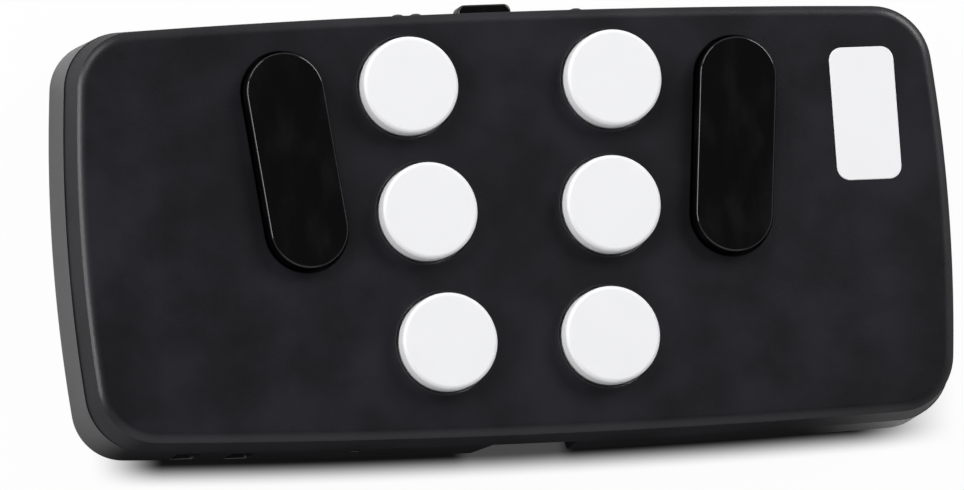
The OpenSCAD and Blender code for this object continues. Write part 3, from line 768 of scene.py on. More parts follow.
def board_finish(name, colours):
    """Solder mask over copper tracks."""
    shader = Shader(name)
    tracks = shader.node(
        "ShaderNodeTexBrick",
        {"offset": 0.5},
        {"Vector": shader.place, "Scale": 420, "Mortar Size": 0.06, "Brick Width": 0.9, "Row Height": 0.35},
        output="Fac",
    )
    clouds = shader.noise(6 * MM, detail=3)
    mask = shader.mix(clouds, tinted(colours.board, 0.85), tinted(colours.board, 1.15))
    tone = shader.mix(0.35 * tracks, mask, tinted(colours.board, 1.9))
    relief = shader.bump(tracks, 0.02 * MM)
    return shader.surface(base_color=tone, roughness=0.3 + 0.1 * clouds, normal=relief)


def foam_finish(name, colours):
    """Closed-cell foam tape."""
    shader = Shader(name)
    cells = shader.node("ShaderNodeTexVoronoi", inputs={"Vector": shader.place, "Scale": 1 / (0.3 * MM)})
    tone = shader.mix(shader.step(cells, 0.1, 0.6), tinted(colours.foam, 1.3), tinted(colours.foam, 0.7))
    return shader.surface(base_color=tone, roughness=0.85, normal=shader.bump(cells, 0.06 * MM))


FINISHES = {
    "casing": tray_finish,
    "face": face_finish,
    "dot_key": white_finish,
    "bar_key": gloss_finish,
    "slider": gloss_finish,
    "plunger": nylon_finish,
    "switch_housing": moulded_finish,
    "board": board_finish,
    "chip": chip_finish,
    "steel": steel_finish,
    "contact": gold_finish,
    "battery": foil_finish,
    "foam": foam_finish,
    "lead": lead_finish,
}


def finish_of(slot):
    """The finish of that name, made when it is first asked for."""
    made = bpy.data.materials.get(slot + " finish")
    return made or FINISHES[slot](slot + " finish", bpy.context.scene.keyboard.colours)


# Repeated pieces, made with Geometry Nodes


class Geometry(Graph):
    """A geometry graph whose result becomes a plain mesh."""

    def __init__(self, name):
        super().__init__(bpy.data.node_groups.new(name, "GeometryNodeTree"))
        self.tree.interface.new_socket("Geometry", in_out="OUTPUT", socket_type="NodeSocketGeometry")
        self.values = {}

    def size(self, name, value):
        """A named input for a size, and the value that the modifier gives it."""
        socket = self.tree.interface.new_socket(name, in_out="INPUT", socket_type="NodeSocketFloat")
        self.values[socket.identifier] = value
        return self.node("NodeGroupInput", output=name)

    def point(self, x=0, y=0, z=0):
        """A vector from three terms or numbers."""
        return self.node("ShaderNodeCombineXYZ", inputs={0: x, 1: y, 2: z})

    def pick(self, kind, choices):
        """The choice that goes with each point's index."""
        index = self.node("GeometryNodeInputIndex")
        inputs = {k + 1: choice for k, choice in enumerate(choices)}
        settings = {"data_type": kind, "items": len(choices)}
        return self.node("GeometryNodeIndexSwitch", settings, {0: index, **inputs})

    def cylinder(self, radius, depth):
        """An upright cylinder about the origin."""
        inputs = {"Vertices": ROUND_STEPS, "Radius": radius, "Depth": depth}
        return self.node("GeometryNodeMeshCylinder", inputs=inputs)

    def box(self, x, y, z):
        """A box about the origin."""
        return self.node("GeometryNodeMeshCube", inputs={"Size": self.point(x, y, z)})

    def moved(self, geometry, **places):
        """Geometry moved by x, y and z."""
        inputs = {"Geometry": geometry, "Translation": self.point(**places)}
        return self.node("GeometryNodeTransform", inputs=inputs)

    def joined(self, operation, meshes):
        """Solids joined to each other or cut from each other."""
        return self.node("GeometryNodeMeshBoolean", {"operation": operation, "solver": "MANIFOLD"}, meshes)

    def instances(self, points, geometry):
        """Copies of geometry on points."""
        return self.node("GeometryNodeInstanceOnPoints", inputs={"Points": points, "Instance": geometry})

    def build(self, name, geometry, finish):
        """The piece that the graph gives, as a plain mesh."""
        real = self.node("GeometryNodeRealizeInstances", inputs={"Geometry": geometry})
        painted = self.node("GeometryNodeSetMaterial", inputs={"Geometry": real, "Material": finish})
        self.node("NodeGroupOutput", inputs={0: painted})
        piece = new_object(name, bpy.data.meshes.new(name))
        step = piece.modifiers.new(name, "NODES")
        step.node_group = self.tree
        for identifier, value in self.values.items():
            step[identifier] = value
        settle(piece)
        return piece


def round_key(name, place, keys, finish):
    """A round key: a profile swept round its axis, with a rounded rim and a flange that holds it in."""
    nodes = Geometry(name)
    radius = nodes.size("Radius", (KEY_HIGH.x - KEY_LOW.x) / 2 - keys.gap - keys.flange_reach)
    flange = nodes.size("Flange", keys.gap + keys.flange_reach)
    low = nodes.size("Low", KEY_LOW.z)
    shoulder = nodes.size("Shoulder", KEY_LOW.z + keys.flange)
    top = nodes.size("Top", KEY_HIGH.z)
    edge = nodes.size("Edge", keys.dot_edge)
    flange_edge = nodes.size("Flange edge", keys.flange_edge)
    x = nodes.size("Place X", place.x)
    y = nodes.size("Place Y", place.y)
    path = radius / 2
    wide = radius + flange
    # From the top down, since the sweep turns the profile over
    corners = [(0, top), (radius, top), (radius, shoulder), (wide, shoulder), (wide, low), (0, low)]
    profile = nodes.node("GeometryNodeMeshLine", inputs={"Count": len(corners)})
    points = nodes.pick("VECTOR", [nodes.point(out - path, -up) for out, up in corners])
    profile = nodes.node("GeometryNodeSetPosition", inputs={"Geometry": profile, "Position": points})
    profile = nodes.node("GeometryNodeMeshToCurve", inputs={"Mesh": profile})
    rounding = nodes.pick("FLOAT", [0, edge, 0, flange_edge, flange_edge, 0])
    profile = nodes.node(
        "GeometryNodeFilletCurve",
        {"mode": "POLY"},
        {"Curve": profile, "Count": EDGE_STEPS, "Radius": rounding, "Limit Radius": True},
    )
    around = {"Resolution": 3 * ROUND_STEPS, "Radius": path}
    ring = nodes.node("GeometryNodeCurvePrimitiveCircle", inputs=around)
    key = nodes.node("GeometryNodeCurveToMesh", inputs={"Curve": ring, "Profile Curve": profile})
    key = nodes.node("GeometryNodeMergeByDistance", inputs={"Geometry": key, "Distance": WELD})
    return nodes.build(name, nodes.moved(key, x=x, y=y), finish)


def screw_group(name, low, high, heads_up, fasteners, finish):
    """Four cross-head screws at the corners of a box."""
    nodes = Geometry(name)
    spread_x = nodes.size("Spread X", high.x - low.x - fasteners.head)
    spread_y = nodes.size("Spread Y", high.y - low.y - fasteners.head)
    head = nodes.size("Head radius", fasteners.head / 2)
    height = nodes.size("Head height", fasteners.head_height)
    shank = nodes.size("Shank radius", fasteners.screw / 2)
    tall = nodes.size("Whole height", high.z - low.z)
    cross = nodes.size("Cross length", fasteners.cross_length)
    slot = nodes.size("Cross width", fasteners.cross_width)
    deep = nodes.size("Cross depth", fasteners.cross_depth)
    top = high.z if heads_up else low.z
    crown = nodes.moved(nodes.cylinder(head, height), z=-0.5 * height)
    stem = nodes.moved(nodes.cylinder(shank, tall - 0.5 * height), z=-0.5 * tall - 0.25 * height)
    bars = [nodes.box(cross, slot, 2 * deep), nodes.box(slot, cross, 2 * deep)]
    screw = nodes.joined("UNION", {"Mesh 2": [crown, stem]})
    screw = nodes.joined("DIFFERENCE", {"Mesh 1": screw, "Mesh 2": bars})
    flip = Euler((0 if heads_up else math.pi, 0, 0))
    screw = nodes.node("GeometryNodeTransform", inputs={"Geometry": screw, "Rotation": flip})
    grid = {"Size X": spread_x, "Size Y": spread_y, "Vertices X": 2, "Vertices Y": 2}
    corners = nodes.node("GeometryNodeMeshGrid", inputs=grid)
    return nodes.build(name, nodes.instances(nodes.moved(corners, z=top), screw), finish)


# Operators


class KEYBOARD_OT_front_shell(Operator):
    """Builds the front shell: the key face, its rounded edge and the holes for the keys"""

    bl_idname = "keyboard.front_shell"
    bl_label = "Front shell"

    def execute(self, context):
        settings = context.scene.keyboard
        sizes = settings.casing
        fasteners = settings.fasteners
        outline = CasingOutline(sizes)
        parting = outline.parting
        plate_z = sizes.face_z - sizes.face_wall
        steps = [(outline.front_in(parting), parting)] + self.face_edge(sizes, outline)
        shell = loft("face_casing", outline.rings(steps, sizes.seam))
        inner = outline.back_in(parting) + sizes.wall
        rebate = inner - sizes.lip_wall - sizes.lip_gap
        hollow = [(inner, parting - PAST), (inner, parting)]
        hollow.append((outline.front_in(plate_z) + sizes.wall, plate_z))
        groove = [(rebate, parting - PAST), (rebate, sizes.lip_z + sizes.lip_gap)]
        cutters = [loft("hollow", outline.rings(hollow)), loft("groove", outline.rings(groove))]
        cutters += self.key_holes(settings)
        carve(shell, "DIFFERENCE", cutters)
        boss = fasteners.screw + 2 * (fasteners.clearance + fasteners.wall)
        spots = screw_spots(SCREW_LOW, SCREW_HIGH, fasteners)
        bosses = [post("boss", spot, boss, FRONT_LOW.z, plate_z + ROOT) for spot in spots]
        carve(shell, "UNION", bosses)
        deep = SCREW_HIGH.z + fasteners.clearance
        bores = [post("bore", spot, fasteners.screw, FRONT_LOW.z - PAST, deep) for spot in spots]
        carve(shell, "DIFFERENCE", bores + [socket_opening(settings)])
        dress(shell, finish_of("face"), "casing", "casing", "front_shell")
        return {"FINISHED"}

    def face_edge(self, sizes, outline):
        """Pairs of inset and height along the rounding, from its crease up to the face."""
        radius = sizes.face_edge
        crease = sizes.face_z - radius * (1 - math.cos(sizes.face_turn))
        inner = outline.front_in(crease) + radius * math.sin(sizes.face_turn)
        angles = [sizes.face_turn * k / EDGE_STEPS for k in range(EDGE_STEPS, -1, -1)]
        return [(inner - radius * math.sin(a), sizes.face_z - radius * (1 - math.cos(a))) for a in angles]

    def key_holes(self, settings):
        """Cutters for the round holes and the long holes."""
        sizes = settings.casing
        keys = settings.keys
        depth = sizes.face_wall + PAST
        edge = sizes.hole_edge
        radius = (KEY_HIGH.x - KEY_LOW.x) / 2 - keys.flange_reach
        cutters = []
        for n in DOTS:
            spot = middle(f"dot_key_{n}")
            place = Matrix.Translation((spot.x, spot.y, sizes.face_z))
            cutters.append(hole("key hole", lambda grow: circle(radius + grow), depth, edge, place))
        for side in BAR_SIDES:
            place = bar_place(side, keys) @ Matrix.Translation((0, 0, sizes.face_z))
            cutters.append(
                hole("bar hole", lambda grow: bar_outline(keys, keys.gap + grow), depth, edge, place)
            )
        return cutters


def bar_place(side, keys):
    """Where a bar key stands, with its lean."""
    spot = middle(f"{side}_bar_key")
    lean = Matrix.Rotation(-BAR_SIDES[side] * keys.bar_lean, 4, "Z")
    return Matrix.Translation((spot.x, spot.y, 0)) @ lean


def bar_outline(keys, grow):
    """A bar key's outline, grown all round."""
    return stadium(keys.bar_length + 2 * grow, keys.bar_width + 2 * grow)


def screw_spots(low, high, fasteners):
    """Places of four screws whose heads fill the corners of a box."""
    inset = fasteners.head / 2
    columns = (low.x + inset, high.x - inset)
    rows = (low.y + inset, high.y - inset)
    return [(x, y) for x in columns for y in rows]


def socket_opening(settings):
    """A cutter for the charging socket's opening."""
    edges = settings.edges
    spot = middle("usb_socket")
    width = SOCKET_HIGH.x - SOCKET_LOW.x + 2 * edges.socket_gap
    height = SOCKET_HIGH.z - SOCKET_LOW.z + 2 * edges.socket_gap
    mouth = edges.relief_depth - settings.casing.width / 2
    facing = Matrix.Rotation(QUARTER, 4, "X") @ Matrix.Rotation(QUARTER, 4, "Z")
    return hole(
        "socket opening",
        lambda grow: stadium(width + 2 * grow, height + 2 * grow),
        edges.relief_wall + PAST,
        settings.casing.hole_edge,
        Matrix.Translation((spot.x, mouth, spot.z)) @ facing,
    )


class KEYBOARD_OT_back_shell(Operator):
    """Builds the back shell: the tray with its slots, relief, screw holes and posts"""

    bl_idname = "keyboard.back_shell"
    bl_label = "Back shell"

    def execute(self, context):
        settings = context.scene.keyboard
        sizes = settings.casing
        outline = CasingOutline(sizes)
        parting = outline.parting
        curve = rounded_edge(sizes.back_edge, 2 * EDGE_STEPS)[::-1]
        shell = loft("back_casing", outline.rings(curve + [(outline.back_in(parting), parting)]))
        inner = outline.back_in(parting) + sizes.wall
        lip = inner - sizes.lip_wall
        rim = [(lip, parting - PAST), (lip, sizes.lip_z)]
        carve(shell, "UNION", [loft("lip", outline.rings(rim))])
        # The room's lower edge is cut off at a slant, inside the rounding round the back
        slant = sizes.back_edge / 2
        room = [(sizes.wall + slant, sizes.floor_wall), (sizes.wall, sizes.floor_wall + slant)]
        room += [(inner, parting), (inner, sizes.lip_z + PAST)]
        hollow = loft("room", outline.rings(room))
        carve(hollow, "DIFFERENCE", [self.lanyard_block(settings), self.relief_block(settings)])
        carve(shell, "DIFFERENCE", [hollow])
        carve(shell, "UNION", self.posts(settings))
        carve(shell, "DIFFERENCE", self.screw_holes(settings) + self.openings(settings))
        dress(shell, finish_of("casing"), "casing", "casing", "back_shell")
        return {"FINISHED"}

    def lanyard_span(self, settings):
        """The lanyard passage's middle along X, its lowest and highest z and its back face."""
        edges = settings.edges
        outline = CasingOutline(settings.casing)
        x = edges.lanyard_inset - settings.casing.length / 2
        high = outline.parting - edges.lanyard_drop
        back = outline.bow(x) + settings.casing.wall + edges.lanyard_depth - settings.casing.width / 2
        return x, high - edges.lanyard_height, high, back

    def lanyard_block(self, settings):
        """What stays solid round the lanyard passage."""
        edges = settings.edges
        x, low, _, back = self.lanyard_span(settings)
        side = edges.lanyard_bar / 2 + edges.lanyard_slot + edges.lanyard_wall
        parting = CasingOutline(settings.casing).parting
        return block(
            "lanyard block",
            (x - side, -settings.casing.width, low - edges.lanyard_wall),
            (x + side, back + edges.lanyard_wall, parting),
        )

    def relief_block(self, settings):
        """What stays solid behind the charging socket's relief."""
        edges = settings.edges
        x = middle("usb_socket").x
        side = edges.relief_width / 2 + edges.relief_flare + edges.relief_wall
        back = edges.relief_depth + edges.relief_wall - settings.casing.width / 2
        parting = CasingOutline(settings.casing).parting
        return block("relief block", (x - side, -settings.casing.width, -PAST), (x + side, back, parting))

    def posts(self, settings):
        """Seats for the case screws, posts for the board screws and ribs round the battery."""
        fasteners = settings.fasteners
        floor = settings.casing.floor_wall - ROOT
        seat = fasteners.head + 2 * (fasteners.clearance + fasteners.wall)
        seats = screw_spots(SCREW_LOW, SCREW_HIGH, fasteners)
        posts = [post("seat", spot, seat, floor, BOARD_LOW.z) for spot in seats]
        pillar = fasteners.screw + 2 * fasteners.wall
        for spot in screw_spots(BOARD_SCREW_LOW, BOARD_SCREW_HIGH, fasteners):
            posts.append(post("pillar", spot, pillar, floor, BOARD_LOW.z))
        return posts + self.battery_ribs(settings.edges, floor)

    def battery_ribs(self, edges, floor):
        """Ribs round the two ends of the battery."""
        centre = (BATTERY_LOW + BATTERY_HIGH) / 2
        length = BATTERY_HIGH.x - BATTERY_LOW.x
        inner = Vector((length / 2 + edges.rib_gap, (BATTERY_HIGH.y - BATTERY_LOW.y) / 2 + edges.rib_gap))
        outer = inner + Vector((edges.rib_wall, edges.rib_wall))
        top = floor + ROOT + edges.rib_height
        spans = []
        for side in SIDES:
            spans.append(((side * inner.x, -outer.y), (side * outer.x, outer.y)))
            start = side * RIB_START * length
            spans += [((start, s * inner.y), (side * outer.x, s * outer.y)) for s in SIDES]
        ribs = []
        for near, far in spans:
            low = (centre.x + near[0], centre.y + near[1], floor)
            high = (centre.x + far[0], centre.y + far[1], top)
            ribs.append(block("rib", low, high))
        return ribs

    def screw_holes(self, settings):
        """Cutters for the recessed screw heads and their shanks, from the back."""
        fasteners = settings.fasteners
        recess = fasteners.head / 2 + fasteners.clearance
        depth = SCREW_LOW.z + fasteners.head_height
        shank = fasteners.screw + 2 * fasteners.clearance
        facing = Matrix.Rotation(math.pi, 4, "X")
        cutters = []
        edge = settings.casing.slot_edge
        for spot in screw_spots(SCREW_LOW, SCREW_HIGH, fasteners):
            place = Matrix.Translation((*spot, 0)) @ facing
            cutters.append(hole("recess", lambda grow: circle(recess + grow), depth, edge, place))
            cutters.append(post("shank", spot, shank, depth - PAST, BOARD_LOW.z + PAST))
        return cutters

    def openings(self, settings):
        """Cutters for everything that opens in the side walls."""
        sizes = settings.casing
        edges = settings.edges
        outline = CasingOutline(sizes)
        edge = sizes.slot_edge
        through = sizes.wall + PAST
        x, low, high, back = self.lanyard_span(settings)
        reach = edges.lanyard_bar / 2 + edges.lanyard_slot
        wall_back = back - edges.lanyard_depth
        cutters = [block("passage", (x - reach, wall_back, low), (x + reach, back, high))]
        apart = (edges.lanyard_bar + edges.lanyard_slot) / 2
        for side in SIDES:
            place = outline.wall_place(x + side * apart, (low + high) / 2)
            cutters.append(
                hole("lanyard slot", lambda grow: self.lanyard_outline(edges, grow), through, edge, place)
            )
        radius = edges.pinhole / 2
        place = outline.wall_place(edges.pinhole_inset - sizes.length / 2, middle("usb_socket").z)
        cutters.append(
            hole("pinhole", lambda grow: circle(radius + grow), through, edges.pinhole_edge, place)
        )
        slot_z = middle("power_slider").z
        slot_x = middle("power_slider").x + TRAVEL["power_slide"] / 2
        half = (edges.knob_length + TRAVEL["power_slide"]) / 2 + edges.knob_gap
        low_edge = edges.knob_height / 2 + edges.knob_gap
        over = sizes.lip_z + PAST - slot_z
        cutters.append(
            hole(
                "slider slot",
                lambda grow: notch(half + grow, half + grow, -low_edge - grow, over),
                through,
                edge,
                outline.wall_place(slot_x, slot_z, upper=True),
            )
        )
        return cutters + self.relief_cutters(settings)

    def lanyard_outline(self, edges, grow):
        """A lanyard slot's outline, grown all round."""
        width = edges.lanyard_slot + 2 * grow
        height = edges.lanyard_height + 2 * grow
        return rounded_rectangle(width, height, edges.lanyard_corner + grow)

    def relief_cutters(self, settings):
        """Cutters for the relief, the gap in the lip above it and the socket's opening."""
        sizes = settings.casing
        edges = settings.edges
        parting = CasingOutline(sizes).parting
        x = middle("usb_socket").x
        half = edges.relief_width / 2
        wide = half + edges.relief_flare
        place = Matrix.Translation((x, -sizes.width / 2, 0)) @ Matrix.Rotation(QUARTER, 4, "X")
        relief = hole(
            "relief",
            lambda grow: notch(half + grow, wide + grow, parting, -PAST),
            edges.relief_depth,
            sizes.slot_edge,
            place,
        )
        back = edges.relief_depth + edges.relief_wall - sizes.width / 2
        gap = block("lip gap", (x - half, -sizes.width, parting), (x + half, back, sizes.lip_z + PAST))
        return [relief, gap, socket_opening(settings)]


def notch(top_half, low_half, top, low):
    """An outline with straight sides between two heights, as wide as asked at each."""
    if low > top:
        top, low = low, top
        top_half, low_half = low_half, top_half
    corners = [(-low_half, low), (low_half, low), (top_half, top), (-top_half, top)]
    return [Vector(corner) for corner in corners]


class KEYBOARD_OT_round_keys(Operator):
    """Builds the six round white keys"""

    bl_idname = "keyboard.round_keys"
    bl_label = "Round keys"

    def execute(self, context):
        keys = context.scene.keyboard.keys
        finish = finish_of("dot_key")
        for n in DOTS:
            key = round_key(f"round_key_{n}", middle(f"dot_key_{n}"), keys, finish)
            dress(key, finish, f"dot_key_{n}", "dot_key", f"dot_key_{n}")
        return {"FINISHED"}


class KEYBOARD_OT_bar_keys(Operator):
    """Builds the two long polished keys"""

    bl_idname = "keyboard.bar_keys"
    bl_label = "Bar keys"

    def execute(self, context):
        keys = context.scene.keyboard.keys
        flange_z = KEY_LOW.z
        shoulder = flange_z + keys.flange
        flange = keys.gap + keys.flange_reach
        steps = [(flange, flange_z), (flange, shoulder), (0, shoulder)]
        steps += [(-inset, BAR_HIGH.z - down) for inset, down in rounded_edge(keys.bar_edge)]
        reach = keys.bar_length / 2 - keys.guide_inset
        for side in BAR_SIDES:
            place = bar_place(side, keys)
            rings = [raised(bar_outline(keys, grow), z) for grow, z in steps]
            key = loft(f"{side}_long_key", rings, place)
            spots = [place @ Vector((0, s * reach, 0)) for s in SIDES]
            carve(key, "UNION", [post("guide", spot, keys.guide, BAR_LOW.z, shoulder) for spot in spots])
            dress(key, finish_of("bar_key"), f"{side}_bar_key", "bar_key", f"{side}_bar_key")
        return {"FINISHED"}


class KEYBOARD_OT_power_slider(Operator):
    """Builds the power slider's knob and the plate behind its slot"""

    bl_idname = "keyboard.power_slider"
    bl_label = "Power slider"

    def execute(self, context):
        edges = context.scene.keyboard.edges
        spot = middle("power_slider")
        inner = SLIDER_LOW.y + edges.plate / 2
        low = spot.z - edges.knob_height / 2
        high = spot.z + edges.knob_height / 2
        rim = rounded_edge(edges.knob_edge)
        steps = [(inset, low + down) for inset, down in reversed(rim)]
        steps += [(inset, high - down) for inset, down in rim]
        place = Matrix.Translation((spot.x, 0, 0))
        rings = [raised(self.outline(edges, inner, inset), z) for inset, z in steps]
        knob = loft("slider_knob", rings, place)
        plate_low = (SLIDER_LOW.x, SLIDER_LOW.y, SLIDER_LOW.z)
        plate_high = (SLIDER_HIGH.x, SLIDER_LOW.y + edges.plate, SLIDER_HIGH.z)
        carve(knob, "UNION", [block("plate", plate_low, plate_high)])
        dress(knob, finish_of("slider"), "power_slider", "slider", "power_slider")
        return {"FINISHED"}

    def outline(self, edges, inner, inset):
        """The knob seen from above, drawn in: straight behind and rounded in front."""
        across = edges.knob_length / 2 - edges.knob_corner
        front = SLIDER_HIGH.y - edges.knob_back - edges.knob_corner
        radius = edges.knob_corner - inset
        corners = arc((across, front), radius, 0, QUARTER, EDGE_STEPS)
        corners += arc((-across, front), radius, QUARTER, 2 * QUARTER, EDGE_STEPS)
        half = edges.knob_length / 2 - inset
        return [Vector((-half, inner)), Vector((half, inner))] + corners


class KEYBOARD_OT_charging_socket(Operator):
    """Builds the charging socket's shell and the contacts on its tongue"""

    bl_idname = "keyboard.charging_socket"
    bl_label = "Charging socket"

    def execute(self, context):
        edges = context.scene.keyboard.edges
        spot = middle("usb_socket")
        width = SOCKET_HIGH.x - SOCKET_LOW.x
        height = SOCKET_HIGH.z - SOCKET_LOW.z
        facing = Matrix.Rotation(QUARTER, 4, "X") @ Matrix.Rotation(QUARTER, 4, "Z")
        place = Matrix.Translation((spot.x, SOCKET_LOW.y, spot.z)) @ facing
        depth = SOCKET_HIGH.y - SOCKET_LOW.y
        lip = rounded_edge(edges.socket_edge)
        rings = [raised(stadium(width, height), -depth)]
        rings += [raised(stadium(width - 2 * inset, height - 2 * inset), -down) for inset, down in lip]
        shell = loft("socket_shell", rings, place)
        clear = 2 * edges.socket_wall
        back = depth - (SOCKET_HIGH.y - TONGUE_HIGH.y) / 2
        bore = hole(
            "socket bore",
            lambda grow: stadium(width - clear + 2 * grow, height - clear + 2 * grow),
            back,
            edges.socket_edge,
            place,
        )
        carve(shell, "DIFFERENCE", [bore])
        dress(shell, finish_of("steel"), "casing", "steel", "usb_socket")
        contacts = self.contacts(edges, spot)
        dress(contacts, finish_of("contact"), "casing", "contact")
        return {"FINISHED"}

    def contacts(self, edges, spot):
        """Two rows of contacts, sunk in both faces of the tongue but for their tops."""
        nodes = Geometry("socket_contacts")
        width = nodes.size("Contact width", edges.contact_width)
        length = nodes.size("Contact length", edges.contact_length)
        pitch = nodes.size("Contact pitch", edges.contact_pitch)
        tongue = nodes.size("Tongue", edges.tongue)
        rise = CONTACT_RISE * tongue
        grid = nodes.node(
            "GeometryNodeMeshGrid",
            inputs={
                "Size X": (CONTACTS - 1) * pitch,
                "Size Y": tongue,
                "Vertices X": CONTACTS,
                "Vertices Y": len(SIDES),
            },
        )
        upright = Euler((QUARTER, 0, 0))
        turned = nodes.node("GeometryNodeTransform", inputs={"Geometry": grid, "Rotation": upright})
        middle_y = TONGUE_LOW.y + CONTACT_MIDDLE * edges.contact_length
        rows = nodes.moved(turned, x=spot.x, y=middle_y, z=spot.z)
        strip = nodes.box(width, length, 2 * rise)
        return nodes.build("socket_contacts", nodes.instances(rows, strip), finish_of("contact"))


class KEYBOARD_OT_screws(Operator):
    """Builds the case screws and the board screws"""

    bl_idname = "keyboard.screws"
    bl_label = "Screws"

    def execute(self, context):
        fasteners = context.scene.keyboard.fasteners
        steel = finish_of("steel")
        case = screw_group("back_screws", SCREW_LOW, SCREW_HIGH, False, fasteners, steel)
        dress(case, steel, "casing", "steel", "case_screws")
        board = screw_group("pillar_screws", BOARD_SCREW_LOW, BOARD_SCREW_HIGH, True, fasteners, steel)
        dress(board, steel, "casing", "steel", "board_screws")
        return {"FINISHED"}


class KEYBOARD_OT_tactile_pips(Operator):
    """Builds the tactile pips beside the power slider"""

    bl_idname = "keyboard.tactile_pips"
    bl_label = "Tactile pips"

    def execute(self, context):
        settings = context.scene.keyboard
        edges = settings.edges
        outline = CasingOutline(settings.casing)
        z = outline.parting - edges.pip_drop
        half = edges.pip_pitch / 2
        places = [-edges.pip_reach - half, half - edges.pip_reach, edges.pip_reach]
        nodes = Geometry("edge_pips")
        radius = nodes.size("Pip radius", edges.pip / 2)
        rise = nodes.size("Pip rise", edges.pip_rise)
        spots = []
        for k, x in enumerate(places):
            place = nodes.size(f"Pip {k + 1}", x)
            out = settings.casing.width / 2 - outline.back_in(z) - outline.bow(x)
            spots.append(nodes.point(place, out, z))
        line = nodes.node("GeometryNodeMeshLine", inputs={"Count": len(places)})
        chosen = nodes.pick("VECTOR", spots)
        line = nodes.node("GeometryNodeSetPosition", inputs={"Geometry": line, "Position": chosen})
        turns = {"Segments": ROUND_STEPS, "Rings": ROUND_STEPS // 2}
        ball = nodes.node("GeometryNodeMeshUVSphere", inputs=turns)
        flat = nodes.point(radius, rise, radius)
        ball = nodes.node("GeometryNodeTransform", inputs={"Geometry": ball, "Scale": flat})
        pips = nodes.build("edge_pips", nodes.instances(line, ball), finish_of("casing"))
        dress(pips, finish_of("casing"), "casing", "casing")
        return {"FINISHED"}


class KEYBOARD_OT_blank_plate(Operator):
    """Builds the plain blank plate on the key face"""

    bl_idname = "keyboard.blank_plate"
    bl_label = "Blank plate"

    def execute(self, context):
        settings = context.scene.keyboard
        edges = settings.edges
        low = settings.casing.face_z - edges.plate_rise
        high = settings.casing.face_z + edges.plate_rise
        steps = [(0, low)]
        steps += [(inset, high - down) for inset, down in rounded_edge(edges.plate_edge)]
        place = Matrix.Translation((settings.casing.length / 2 - edges.plate_inset, edges.plate_up, 0))
        rings = []
        for inset, z in steps:
            width = edges.plate_width - 2 * inset
            length = edges.plate_length - 2 * inset
            rings.append(raised(rounded_rectangle(width, length, edges.plate_corner - inset), z))
        plate = loft("face_plate", rings, place)
        dress(plate, finish_of("dot_key"), "casing", "dot_key")
        return {"FINISHED"}


class KEYBOARD_OT_inner_pieces(Operator):
    """Gives every piece that is carried over from the frame its finish"""

    bl_idname = "keyboard.inner_pieces"
    bl_label = "Inner pieces"

    def execute(self, context):
        slots = {part["node"]: part["material_slot"] for part in frame["record"]["subparts"]}
        for name, node in frame["nodes"].items():
            if not node.material_slots:
                node.data.materials.append(None)
            for place in node.material_slots:
                place.link = "OBJECT"
                place.material = finish_of(slots[name])
        return {"FINISHED"}


